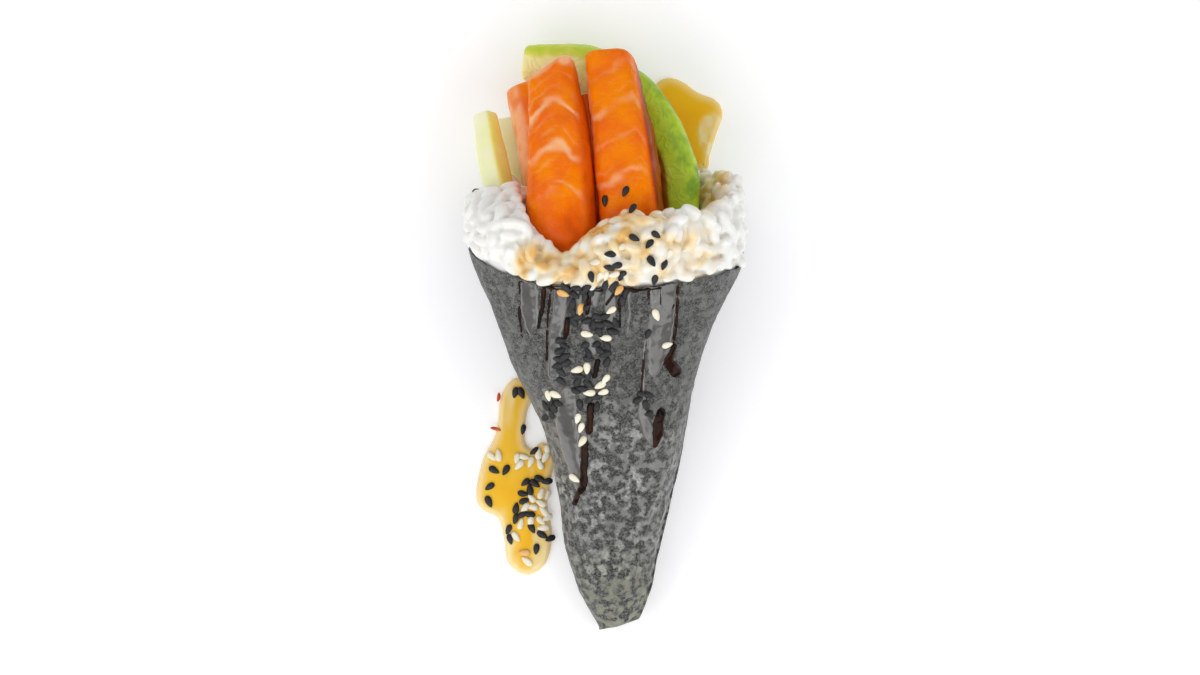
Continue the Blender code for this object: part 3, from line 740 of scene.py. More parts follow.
def make_salmon_material():
    material, tree, shader = new_material(
        "salmon",
        Subsurface_Weight=0.3,
        Subsurface_Scale=2.5 * MM,
        Roughness=0.28,
        Coat_Roughness=0.1,
        IOR=1.36,
    )
    shader.inputs["Subsurface Radius"].default_value = (1.0, 0.35, 0.12)
    shader.inputs["Specular IOR Level"].default_value = 0.06
    flesh_clouds = use_group(tree, MOTTLE, Scale=120.0, Detail=3.0, Low=0.35, High=0.65).outputs[0]
    strands = use_group(tree, FIBRES, Scale=420.0, Curl=0.6, Width=0.06).outputs[0]
    flesh = mix_colours(tree, flesh_clouds, (1.0, 0.26, 0.0005, 1), (0.90, 0.15, 0.0005, 1))
    flesh = mix_colours(tree, arithmetic(tree, "MULTIPLY", strands, 0.14), flesh, (0.97, 0.40, 0.04, 1))
    marbled = mix_colours(tree, painted(tree, "fat"), flesh, (1.0, 0.52, 0.26, 1))
    # The glaze colours also carry painted shade: on the low end, down the right sides and on the bar in the
    # gap
    glazed = use_group(tree, GLAZE_TINT, Amount=painted(tree, "glaze"))
    glazed.inputs["Thin Glaze"].default_value = (0.78, 0.115, 0.001, 1)
    glazed.inputs["Thick Glaze"].default_value = (0.26, 0.028, 0.001, 1)
    tree.links.new(marbled, glazed.inputs["Food"])
    tree.links.new(glazed.outputs[0], shader.inputs["Base Color"])
    wet = add_node(tree, "ShaderNodeMapRange", Value=flesh_clouds, To_Min=0.0, To_Max=0.25)
    tree.links.new(wet.outputs["Result"], shader.inputs["Coat Weight"])
    height = arithmetic(tree, "ADD", strands, arithmetic(tree, "MULTIPLY", painted(tree, "fat"), -0.5))
    add_bump(tree, shader, height, 0.12 * MM, 0.6)
    return material


# %% [markdown]
# The fat and the glaze of the salmon are worked out for each vertex, from where it lies in the roll. The
# glaze goes with painted shade on the low end and down the right sides of the upper sticks. The
# sheets of fat are also pressed a little into the surface, as they are softer than the flesh.

# %% Salmon sticks
# Painted shade with glaze down the right side of each upper stick: where it begins in x at RIDGE_Y, how that
# line leans, over how many millimetres it darkens, and how dark it gets
PALE_TIP = (-9.4, 72.6)
GLAZE_AND_SHADE_SIDES = {"salmon_left": (-7.0, -0.08, 2.6, 0.5), "salmon_right": (11.0, -0.14, 1.6, 0.95)}


def salmon_glaze_and_shade(points, name):
    """Glaze with painted shade, a dark red, on the low end and down the right sides of the two upper sticks.
    """
    x, y = points[:, 0] / MM, points[:, 1] / MM
    amount = 0.62 * smooth_step((38 - y) / 15)
    if name in GLAZE_AND_SHADE_SIDES:
        begins, lean, over, strength = GLAZE_AND_SHADE_SIDES[name]
        amount = np.maximum(amount, strength * smooth_step((x - begins - lean * (y - RIDGE_Y)) / over))
    patches = 0.25 * noise_at(points, 5 * MM, 2, shift=3.0)
    return np.clip(amount + patches * smooth_step((60 - y) / 30), 0, 1)


def salmon_fat(points, across, name):
    """Marbling, with a pale torn tip, a pale edge of fat and painted highlight, or a pale side, whichever the
    stick has.
    """
    x, y = points[:, 0] / MM, points[:, 1] / MM
    fat = fat_at(points, **MARBLING[name])
    streaky = smooth_step(0.55 + 1.3 * noise_at(points * (1, 0.4, 1), 3 * MM, 2, shift=17.0))
    if name == "salmon_left":
        tip = np.hypot(x - PALE_TIP[0], y - PALE_TIP[1])
        return np.maximum(fat, 1 - smooth_step((tip - 1.2) / 1.6))
    # The right stick's pale left edge is streaks of fat with a painted highlight along that rounded edge
    if name == "salmon_right":
        edge = smooth_step((-0.72 - across) / 0.2) * smooth_step((y - 46) / 14)
        return np.maximum(fat, 0.8 * edge * streaky)
    return np.maximum(fat, smooth_step((-0.05 - across) / 0.4) * (0.35 + 0.65 * streaky))


FAT_SUNK = 0.12
salmon_material = make_salmon_material()
fillings = []
for name, form in SALMON_FORMS.items():
    marbling = MARBLING[name]
    stick, flat, _, across, _ = make_bar(
        name + "_stick", salmon_material, form, relief=lambda p, m=marbling: -FAT_SUNK * fat_at(p, **m)
    )
    paint(stick, "fat", salmon_fat(flat, across, name))
    paint(stick, "glaze", salmon_glaze_and_shade(flat, name))
    fillings.append(place(stick, "salmon", name))

# %% [markdown]
# Between the two upper sticks lies a dark red line: glaze that has run down there, darkened as painted shade
# of the gap. It is one more thin bar, sunk a little in both sticks, in the salmon's material with glaze and
# painted shade all over it.

# %% Glaze between the sticks
GAP_FORM = dict(
    path=[(-0.6, 28, 33.0), (-1.5, 44, 32.6), (-2.4, 52, 30.6), (-3.9, 61.5, 27.2)],
    widths=[3.0, 3.0, 3.2, 3.6],
    heights=[4.0, 4.0, 4.0, 3.6],
    squareness=2.4,
)
# Painted shade: the bar's glaze darkens the gap between the sticks
GAP_GLAZE_AND_SHADE = 0.4
gap_glaze_and_shade, flat, *_ = make_bar("glaze_gap", salmon_material, GAP_FORM, uneven=0.1)
paint(gap_glaze_and_shade, "fat", np.zeros(len(flat)))
paint(gap_glaze_and_shade, "glaze", np.full(len(flat), GAP_GLAZE_AND_SHADE))
place(gap_glaze_and_shade, "sauce")

# %% [markdown]
# ### Avocado
# A slice of avocado runs from dark green under the peeled skin, through bright green, to buttery yellow
# near the stone. The flesh's colour only depends on how far below the skin a place is, so it is painted from
# the bar's own side to side measure. The slice bends round behind the salmon and its cut face turns up
# towards its far end. On its inner side next to the salmon it gets glaze with painted shade and a painted
# orange reflection of the salmon.

# %% Avocado slices
AVOCADO_FORMS = {
    "avocado_slice": dict(
        path=[
            (18.4, 24, 24.5),
            (19.0, 36, 23.6),
            (16.8, 48.6, 20.5),
            (9.2, 61.6, 15.4),
            (-2.6, 70.0, 11.8),
            (-19.0, 72.4, 9.6),
        ],
        widths=[11.0, 13.6, 13.8, 13.8, 13.2, 9.6],
        heights=[9.0, 11.8, 12.4, 12.4, 11.6, 9.4],
        squareness=2.8,
        taper=0.5,
        steps=180,
    ),
    "avocado_under": dict(
        path=[(19.4, 25, 12.0), (20.8, 35, 10.6), (19.4, 46, 8.0), (14.4, 56, 5.6)],
        widths=[9.0, 11.0, 10.6, 8.0],
        heights=[7.0, 9.0, 9.0, 7.0],
        squareness=2.8,
        taper=0.5,
    ),
}


def make_avocado_material():
    material, tree, shader = new_material(
        "avocado",
        Subsurface_Weight=0.2,
        Subsurface_Scale=2 * MM,
        Roughness=0.38,
        Coat_Weight=0.15,
        Coat_Roughness=0.15,
    )
    shader.inputs["Specular IOR Level"].default_value = 0.25
    shader.inputs["Subsurface Radius"].default_value = (1.0, 1.0, 0.3)
    clouds = use_group(tree, MOTTLE, Scale=170.0, Detail=4.0, Low=0.3, High=0.7).outputs[0]
    veins = use_group(tree, FIBRES, Scale=260.0, Curl=0.9, Width=0.08).outputs[0]
    wander = arithmetic(tree, "MULTIPLY", clouds, 0.24)
    depth = arithmetic(tree, "ADD", painted(tree, "depth"), wander)
    ramp = add_node(tree, "ShaderNodeValToRGB", Fac=depth)
    stops = ramp.color_ramp.elements
    stops[0].position, stops[0].color = 0.0, (0.15, 0.37, 0.012, 1)
    stops[1].position, stops[1].color = 1.0, (1.0, 0.94, 0.42, 1)
    for at, colour in (
        (0.2, (0.50, 0.70, 0.030, 1)),
        (0.42, (0.62, 0.76, 0.045, 1)),
        (0.7, (0.76, 0.81, 0.13, 1)),
    ):
        stops.new(at).color = colour
    faint_veins = arithmetic(tree, "MULTIPLY", veins, 0.12)
    streaked = mix_colours(tree, faint_veins, ramp.outputs[0], (0.50, 0.64, 0.16, 1))
    # The glaze colours also carry painted shade of the salmon and a painted orange reflection of it
    glazed = use_group(tree, GLAZE_TINT, Amount=painted(tree, "glaze"))
    glazed.inputs["Thin Glaze"].default_value = (0.30, 0.15, 0.004, 1)
    glazed.inputs["Thick Glaze"].default_value = (0.24, 0.05, 0.002, 1)
    tree.links.new(streaked, glazed.inputs["Food"])
    tree.links.new(glazed.outputs[0], shader.inputs["Base Color"])
    add_bump(tree, shader, arithmetic(tree, "ADD", clouds, veins), 0.2 * MM, 0.6)
    return material


avocado_material = make_avocado_material()
for name, form in AVOCADO_FORMS.items():
    avocado, flat, t, u, _ = make_bar(name + "_cut", avocado_material, form)
    flesh_shows = smooth_step((t - 0.62) / 0.3) if name == "avocado_slice" else 0
    depth = 0.2 - 0.2 * u + flesh_shows * (0.85 - 0.5 * smooth_step((u - 0.1) / 0.6))
    paint(avocado, "depth", np.clip(depth - 0.04 + 0.22 * noise_at(flat, 5 * MM, 3, shift=12.0), 0, 1))
    # Glaze with painted shade and a painted orange reflection of the salmon, on the inner side next to it
    paint(avocado, "glaze", smooth_step((-0.1 - u) / 0.3) * smooth_step((0.72 - t) / 0.2))
    fillings.append(place(avocado, "avocado", name))

# %% [markdown]
# ### Cucumber
# The cucumber is a peeled stick. Its outer flesh is nearly white and slightly see-through, and the face
# nearer the seeds is yellower. The stick stands on its edge, so two faces show, and each gets its colour by
# the way it faces.

# %% Cucumber sticks
CUCUMBER_FORMS = {
    "cucumber_left": dict(
        path=[(-23.6, 26, 26.4), (-26.2, 37, 25.6), (-28.5, 47, 23.4), (-30.3, 57.2, 20.2)],
        widths=[7.0, 7.0, 6.2, 5.0],
        heights=[7.0, 7.0, 6.4, 5.4],
        squareness=5.0,
        roll=math.radians(-54),
    ),
    "cucumber_under": dict(
        path=[(-20.4, 26, 12.2), (-21.6, 36, 12.0), (-23.4, 46, 10.6), (-24.8, 56.2, 8.4)],
        widths=[7.0, 7.4, 7.4, 6.6],
        heights=[6.4, 6.8, 6.8, 6.0],
        squareness=5.0,
        roll=math.radians(12),
    ),
}


def make_cucumber_material():
    material, tree, shader = new_material(
        "cucumber",
        Subsurface_Weight=0.5,
        Subsurface_Scale=3 * MM,
        Roughness=0.3,
        Coat_Weight=0.3,
        Coat_Roughness=0.1,
    )
    shader.inputs["Specular IOR Level"].default_value = 0.3
    shader.inputs["Subsurface Radius"].default_value = (1.0, 1.0, 0.6)
    clouds = use_group(tree, MOTTLE, Scale=110.0, Detail=3.0, Low=0.3, High=0.7).outputs[0]
    veins = use_group(tree, FIBRES, Scale=160.0, Curl=0.7, Width=0.12).outputs[0]
    outer = mix_colours(tree, clouds, (0.95, 0.95, 0.50, 1), (1.0, 1.0, 0.68, 1))
    seeds = mix_colours(tree, clouds, (0.92, 1.0, 0.09, 1), (0.98, 1.0, 0.22, 1))
    faced = mix_colours(tree, painted(tree, "seed_side"), outer, seeds)
    veined = mix_colours(tree, arithmetic(tree, "MULTIPLY", veins, 0.2), faced, (0.93, 0.95, 0.78, 1))
    tree.links.new(veined, shader.inputs["Base Color"])
    add_bump(tree, shader, arithmetic(tree, "ADD", clouds, veins), 0.12 * MM, 0.5)
    return material


cucumber_material = make_cucumber_material()
for name, form in CUCUMBER_FORMS.items():
    stick, _, t, _, w = make_bar(name + "_stick", cucumber_material, form, uneven=0.2)
    seed_side = smooth_step((w - 0.75) / 0.2) if name == "cucumber_left" else 0 * t
    low = smooth_step((0.45 - t) / 0.4)
    paint(stick, "seed_side", np.clip(seed_side * (0.75 + 0.25 * low), 0, 1))
    fillings.append(place(stick, "cucumber", name))
filling_trees = [mesh_tree(obj) for obj in fillings]

# %% [markdown]
# ## The rice
# The rice fills the cone and swells out of its mouth in a lumpy crown. Each cooked grain that shows is a
# real mesh: a plump rod, a little bent, lying any way on a core that has the crown's form. A scattered mesh
# is heavier than a bump map, but the crown's outline and the dark gaps between grains only come right with
# real grains.

# %% The crown's form
MOUTH_CENTRE = np.array((0.5, 27.0, 24.0)) * MM
MOUTH_FACES = np.array((0.0, 0.79, 0.61)) / math.hypot(0.79, 0.61)
CROWN_SHARE = np.array([1.0, 1.06, 1.06, 0.97, 0.84, 0.68, 0.5, 0.3])
CROWN_RISE = np.array([0.02, 0.25, 0.52, 0.82, 1.0, 0.95, 0.75, 0.6])
BULGE_TOP = 11.0 * MM
BULGE_LEFT = 15.0 * MM
BULGE_RIGHT = 23.0 * MM
BULGE_BACK = 7.0 * MM
RIGHT_LEANS = np.array((-0.04, 0.3, -0.25))
MOUND = 5.0 * MM
MOUND_ANGLE = math.radians(68)
MOUND_SPREAD = math.radians(24)
DIP = 5.5 * MM
DIP_ANGLE = math.radians(119)
DIP_SPREAD = math.radians(21)
RIGHT_HOLLOW = 0.62
HOLLOW_FROM = 0.4
HOLLOW_OVER = 0.22
TOP_FROM = 0.35
TOP_OVER = 0.5
SIDES_FROM = 0.3
SIDES_OVER = 0.4
LUMP = 2.0 * MM
LUMP_SIZE = 9.0 * MM
RICE_ENDS_AT_BACK = 0.90
RICE_INSET = 1.0 * MM


def crown_points(theta, profile):
    """Points of the rice crown, from the rim at profile 0 to the middle of the filling's well at 1."""
    up, right = np.sin(theta), np.cos(theta)
    mound = (theta % math.tau - MOUND_ANGLE) / MOUND_SPREAD
    dip = (theta % math.tau - DIP_ANGLE) / DIP_SPREAD
    ends = np.where(up > 0, BULGE_TOP, BULGE_BACK)
    sides = np.where(right > 0, BULGE_RIGHT, BULGE_LEFT)
    uneven = MOUND * np.exp(-mound * mound) - DIP * np.exp(-dip * dip)
    bulge = ends * up * up + sides * right * right + uneven
    hollow = RIGHT_HOLLOW * np.maximum(right, 0) ** 2 * smooth_step((profile - HOLLOW_FROM) / HOLLOW_OVER)
    keys = np.linspace(0, 1, len(CROWN_SHARE))
    share = cubic(keys, CROWN_SHARE, profile)
    rise = cubic(keys, CROWN_RISE, profile) * bulge * (1 - hollow)
    at_sides = smooth_step((np.abs(right) - SIDES_FROM) / SIDES_OVER)
    overhang = smooth_step((up + TOP_FROM) / TOP_OVER) * (1 - at_sides)
    share = np.where(share < 1, share, 1 + (share - 1) * overhang)
    meets = 1 - (1 - RICE_ENDS_AT_BACK) * smooth_step(-up)
    edge = section_points(theta, along(theta, meets, corner=False), RICE_INSET)
    faces_way = MOUTH_FACES + RIGHT_LEANS * np.maximum(right, 0)[..., None]
    faces_way /= np.linalg.norm(faces_way, axis=-1, keepdims=True)
    points = MOUTH_CENTRE + (edge - MOUTH_CENTRE) * share[..., None] + faces_way * rise[..., None]
    lumps = LUMP * noise_at(points, LUMP_SIZE) * smooth_step(profile / 0.25)
    return points + faces_way * lumps[..., None]


# %% [markdown]
# Under the grains lies a core with the crown's form, a little sunk and bumpy, so that no gap between grains
# shows the inside. In the cone the rice goes on as a plain plug, since nobody sees it there.

# %% The core
CORE_AROUND = 240
CORE_SUNK = 0.5 * MM
CORE_BUMP = 0.5 * MM
CORE_BUMP_SIZE = 3 * MM
PLUG_SHARES = np.array([0.18, 0.3, 0.45, 0.6, 0.74, 0.86])[:, None]
CROWN_ROWS = 60


def closed_rings(rings):
    """Points and faces of a stack of rings, closed at both ends."""
    rows, around = rings.shape[:2]
    count = rows * around
    faces = grid_quads(rows, around) + fan(list(range(around)), count)
    faces += fan([count - around + i for i in range(around)], count + 1)
    return np.concatenate((rings.reshape(-1, 3), [rings[0].mean(0)], [rings[-1].mean(0)])), faces


core_turn = math.tau * np.arange(CORE_AROUND)[None, :] / CORE_AROUND
plug_theta = seam_angle(PLUG_SHARES) + core_turn
plug = section_points(plug_theta, along(plug_theta, PLUG_SHARES, corner=False), RICE_INSET)
profile = np.linspace(0, 1, CROWN_ROWS)[:, None] + 0 * core_turn
crown = crown_points(seam_angle(1.0) + core_turn + 0 * profile, profile)
crown_places = (crown / CORE_BUMP_SIZE).reshape(-1, 3)
cells = np.array([noise.voronoi(Vector(p))[0][0] for p in crown_places]).reshape(crown.shape[:2])
inwards = MOUTH_CENTRE - crown
inwards /= np.linalg.norm(inwards, axis=-1, keepdims=True)
crown = crown + inwards * ((CORE_SUNK + CORE_BUMP * (cells - 0.3)) * smooth_step(profile / 0.1))[..., None]
plug_points, plug_faces = closed_rings(plug)
crown_shape, crown_faces = closed_rings(np.concatenate((plug[-1:], crown)))
core_tree = BVHTree.FromPolygons(crown_shape.tolist(), crown_faces)
print("crown", [round(v / MM, 1) for v in np.ptp(crown.reshape(-1, 3), axis=0)], "mm")

# %% [markdown]
# Glaze has run over the front of the rice and collected between the grains, while both ends stayed white.
# So each vertex of rice gets an amount of glaze, from soft patches on the plan, more for vertices deeper in
# the heap.

# %% Glaze on the rice
# Patches of glaze: centre and half sizes in plan in millimetres, and how strong
RICE_GLAZE = [
    ((-17.5, 19.0), (4.5, 5.0), 0.8),
    ((-9.0, 18.5), (9.0, 5.0), 0.7),
    ((2.0, 25.5), (8.0, 4.5), 0.75),
    ((4.0, 16.0), (9.0, 4.0), 0.5),
    ((14.0, 21.0), (8.0, 6.0), 0.5),
    ((24.0, 22.0), (6.0, 7.0), 0.3),
    ((9.0, 30.5), (9.0, 2.5), 0.55),
    ((27.5, 41.5), (5.0, 8.0), 0.85),
]


def rice_glaze(points, depth):
    """How much glaze the rice has taken up at each point. Depth is in metres below the heap's surface."""
    x, y = points[:, 0] / MM, points[:, 1] / MM
    amount = np.zeros(len(points))
    for (cx, cy), (hx, hy), strength in RICE_GLAZE:
        away = np.hypot((x - cx) / hx, (y - cy) / hy)
        amount = np.maximum(amount, strength * (1 - smooth_step((away - 0.55) / 0.9)))
    patchy = 0.62 + 0.9 * noise_at(points, 4.5 * MM, 2, shift=6.0)
    deeper = np.clip(0.5 + depth / (1.6 * MM), 0.2, 1.5)
    above = smooth_step((points[:, 2] - 14 * MM) / (10 * MM))
    return np.clip(amount * patchy * deeper * above, 0, 1)


def make_rice_material():
    material, tree, shader = new_material(
        "rice",
        Subsurface_Weight=0.45,
        Subsurface_Scale=1.6 * MM,
        Roughness=0.34,
        Coat_Roughness=0.1,
        IOR=1.45,
    )
    shader.inputs["Subsurface Radius"].default_value = (1.0, 0.9, 0.75)
    shader.inputs["Specular IOR Level"].default_value = 0.4
    clouds = use_group(tree, MOTTLE, Scale=300.0, Detail=3.0, Low=0.3, High=0.7).outputs[0]
    white = mix_colours(tree, clouds, (0.87, 0.865, 0.82, 1), (0.94, 0.93, 0.895, 1))
    glazed = use_group(tree, GLAZE_TINT, Amount=painted(tree, "glaze"))
    glazed.inputs["Thin Glaze"].default_value = (0.90, 0.72, 0.43, 1)
    glazed.inputs["Thick Glaze"].default_value = (0.80, 0.47, 0.12, 1)
    tree.links.new(white, glazed.inputs["Food"])
    tree.links.new(glazed.outputs[0], shader.inputs["Base Color"])
    wet = add_node(
        tree, "ShaderNodeMapRange", Value=painted(tree, "glaze"), From_Max=0.4, To_Min=0.25, To_Max=0.9
    )
    tree.links.new(wet.outputs["Result"], shader.inputs["Coat Weight"])
    add_bump(tree, shader, clouds, 0.15 * MM, 0.5)
    return material


rice_material = make_rice_material()
plug_piece = make_piece("rice_plug", plug_points, plug_faces, rice_material)
place(plug_piece, "rice", "rice")

# %% [markdown]
# A grain is a ball stretched along X, bent and made a little uneven. Eight kinds are enough, as every copy
# lies another way. There are two layers, one sunk in the core and a looser one on top of it. A grain that
# would cut a filling or the nori is left out.

# %% Grains of rice
GRAIN_LENGTH = 6.3 * MM
GRAIN_WIDTH = 3.1 * MM
GRAIN_KINDS = 8
GRAIN_TILT = 0.45
GRAIN_UNEVEN = 0.09 * MM
TRIES_FOR_EACH = 14
# Layers of grains: how many, how far apart, and the range of how deep they are sunk, in shares of their width
LAYERS = [(620, 2.7 * MM, (0.15, 0.45)), (440, 3.2 * MM, (-0.3, 0.1))]


def sphere_grid(rings, around):
    """A unit sphere along X as points and faces."""
    polar = np.linspace(0, math.pi, rings + 2)[1:-1, None]
    angle = math.tau * np.arange(around)[None, :] / around
    x = -np.cos(polar) + 0 * angle
    points = np.stack((x, np.sin(polar) * np.cos(angle), np.sin(polar) * np.sin(angle)), -1).reshape(-1, 3)
    count = rings * around
    faces = grid_quads(rings, around) + fan(list(range(around)), count)
    faces += fan([count - around + i for i in range(around)], count + 1)
    return np.concatenate((points, [(-1, 0, 0), (1, 0, 0)])), faces


BALL, BALL_FACES = sphere_grid(7, 10)


def grain_shape(rng):
    """One plump, slightly bent and uneven grain in metres, lying along X."""
    long, wide = rng.uniform(0.85, 1.12), rng.uniform(0.9, 1.1)
    bend, lean = rng.uniform(-0.16, 0.16), rng.uniform(-0.12, 0.12)
    x, y, z = BALL.T
    full = np.sign(x) * np.abs(x) ** 0.88
    thick = 1 + lean * x
    shape = np.stack((full * long, y * wide * thick, z * 0.92 * wide * thick), -1)
    shape[:, 1] += bend * (x * x - 0.5) * 1.6
    shape *= np.array((GRAIN_LENGTH, GRAIN_WIDTH, GRAIN_WIDTH)) / 2
    return shape + GRAIN_UNEVEN * noise_at(shape + rng.uniform(0, 1), 1.6 * MM)[:, None]


def lie_on(point, normal, heading, sunk, tilt):
    """The matrix that lays a grain on a surface, turned by heading about its normal and tipped by tilt."""
    x_axis = normal.orthogonal().normalized()
    turn = Matrix((x_axis, normal.cross(x_axis), normal)).transposed().to_4x4()
    lay = Matrix.Rotation(heading, 4, "Z") @ Matrix.Rotation(tilt, 4, "Y")
    return Matrix.Translation(point - normal * sunk) @ turn @ lay


def moved(shape, matrix):
    return shape @ np.array(matrix.to_3x3()).T + np.array(matrix.translation)


def clear_of(points, faces, trees):
    """Whether a small closed shape stays outside all the given surfaces."""
    middle = Vector(points.mean(0))
    tree = BVHTree.FromPolygons(points.tolist(), faces)
    for other in trees:
        spot, normal, _, _ = other.find_nearest(middle)
        if (middle - spot).dot(normal) < 0 or other.overlap(tree):
            return False
    return True


def scatter_grains():
    """Layers of grains over the crown, kept apart in each layer and clear of the fillings and the nori."""
    rng = random.Random(21)
    kinds = [grain_shape(rng) for _ in range(GRAIN_KINDS)]
    shapes = []
    for count, spacing, (deep, shallow) in LAYERS:
        kept = np.zeros((0, 3))
        for _ in range(count * TRIES_FOR_EACH):
            if len(kept) == count:
                break
            theta, profile = rng.uniform(0, math.tau), rng.uniform(0.02, 0.98)
            guess = crown_points(np.array([theta]), np.array([profile]))[0]
            spot, normal, _, _ = core_tree.find_nearest(Vector(guess))
            heading = rng.uniform(0, math.pi)
            tilt = rng.uniform(-GRAIN_TILT, GRAIN_TILT)
            sunk_share = rng.uniform(deep, shallow)
            if len(kept) and np.min(np.linalg.norm(kept - np.array(spot), axis=1)) < spacing:
                continue
            shape = moved(rng.choice(kinds), lie_on(spot, normal, heading, GRAIN_WIDTH * sunk_share, tilt))
            if shape[:, 2].min() < 0.2 * MM or not clear_of(shape, BALL_FACES, [*filling_trees, nori_tree]):
                continue
            kept = np.vstack((kept, np.array(spot)))
            shapes.append(shape)
    return shapes


def join_shapes(shapes, faces):
    """Points and faces of many copies with the same faces."""
    points = np.concatenate(shapes)
    size = len(shapes[0])
    return points, [[i + k * size for i in face] for k in range(len(shapes)) for face in faces]


# %% [markdown]
# Sushi rice is sticky, so its grains melt into each other a little where they touch. The grains and the
# crown are therefore turned into one skin by a voxel remesh and softened. The fillings are cut out of the
# crown first, so that the rice only touches them.

# %% Fuse the grains
STICKY_GRID = 0.4 * MM
SURFACE_AT = 1.3 * MM
CUTTER_GROWS = 1.04
CUTTER_STEPS = 30
CUTTER_AROUND = 32


def coarse_cutter(form):
    """A simple bar a little fatter than the filling."""
    points, *_ = bar_grid(**{**form, "steps": CUTTER_STEPS, "around": CUTTER_AROUND})
    middles = points.mean(1, keepdims=True)
    return closed_rings(middles + (points - middles) * CUTTER_GROWS)


def use_modifier(obj, kind, **settings):
    """Adds a modifier, applies it and removes it."""
    modifier = obj.modifiers.new(kind.lower(), kind)
    for key, value in settings.items():
        setattr(modifier, key, value)
    bpy.context.view_layer.update()
    result = bpy.data.meshes.new_from_object(obj.evaluated_get(bpy.context.evaluated_depsgraph_get()))
    obj.modifiers.clear()
    obj.data = result


rice = make_piece("rice_crown", crown_shape, crown_faces, rice_material)
for form in [*SALMON_FORMS.values(), *AVOCADO_FORMS.values(), *CUCUMBER_FORMS.values()]:
    cutter = make_piece("cutter", *coarse_cutter(form), rice_material)
    use_modifier(rice, "BOOLEAN", operation="DIFFERENCE", object=cutter, solver="MANIFOLD")
    bpy.data.objects.remove(cutter)

grain_points, grain_faces = join_shapes(scatter_grains(), BALL_FACES)
first = len(rice.data.vertices)
joined_points = [tuple(v.co) for v in rice.data.vertices] + grain_points.tolist()
joined_faces = [list(p.vertices) for p in rice.data.polygons] + [[first + i for i in f] for f in grain_faces]
bpy.data.objects.remove(rice)
rice = make_piece("rice_grains", joined_points, joined_faces, rice_material)
use_modifier(rice, "REMESH", mode="VOXEL", voxel_size=STICKY_GRID, use_smooth_shade=True)
use_modifier(rice, "SMOOTH", factor=0.5, iterations=2)
rice_points = np.array([v.co[:] for v in rice.data.vertices])
depths = []
for point in rice_points:
    spot, normal, _, _ = core_tree.find_nearest(Vector(point))
    depths.append(SURFACE_AT - (Vector(point) - spot).dot(normal))
paint(rice, "glaze", rice_glaze(rice_points, np.array(depths)))
place(rice, "rice")
print("rice", len(rice.data.polygons), "faces after the remesh")

# %% [markdown]
# ## Pools of glaze
# Glaze that ran off the roll lies beside it in two pools, thick enough to stand with a rounded edge. Their
# rim is pale because light passes through it to the white below, and the middle is deep amber. A
# see-through material would need many light paths to look clean, so the pools let light in only near the
# surface, and the amber is painted by the distance from the edge.

# %% Pool forms
LEFT_POOL = [
    (-22.5, -10.8),
    (-26.6, -15.5),
    (-28.0, -25.5),
    (-31.6, -33.0),
    (-33.3, -42.0),
    (-31.6, -46.0),
    (-27.4, -48.4),
    (-25.8, -54.0),
    (-24.6, -60.4),
    (-19.6, -63.4),
    (-14.6, -60.0),
    (-13.0, -52.4),
    (-14.2, -44.0),
    (-12.6, -35.0),
    (-11.4, -30.2),
    (-15.6, -28.0),
    (-18.4, -29.6),
    (-20.2, -27.4),
    (-19.6, -20.0),
    (-17.4, -13.6),
]
RIGHT_POOL = [
    (13.6, 66.0),
    (11.6, 58.0),
    (16.0, 50.0),
    (22.0, 45.4),
    (28.0, 44.6),
    (29.0, 48.4),
    (30.6, 53.6),
    (32.4, 59.4),
    (30.6, 63.0),
    (26.0, 65.0),
    (21.6, 68.0),
    (17.4, 69.0),
]
POOL_EDGE_RINGS = 9
POOL_EDGE_INSET = 1.6 * MM
POOL_FOOT = 0.3 * MM
POOL_HEIGHT = 1.75 * MM
POOL_DOME = 0.35 * MM
POOL_GRID = 0.7 * MM


def closed_curve(points, between):
    """Points on the smooth loop through the given ones, in metres."""
    points = np.array(points) * MM
    made = []
    for i in range(len(points)):
        before, start, end, after = (points[(i + k - 1) % len(points)] for k in range(4))
        for t in np.arange(between) / between:
            bend = (2 * before - 5 * start + 4 * end - after) * t * t
            turn = (3 * start - before - 3 * end + after) * t**3
            made.append((2 * start + (end - before) * t + bend + turn) / 2)
    return np.array(made)


def inset_loop(loop, inset):
    """The anticlockwise loop moved inwards."""
    way = np.roll(loop, -1, 0) - np.roll(loop, 1, 0)
    way /= np.linalg.norm(way, axis=1)[:, None]
    return loop + np.stack((-way[:, 1], way[:, 0]), -1) * inset


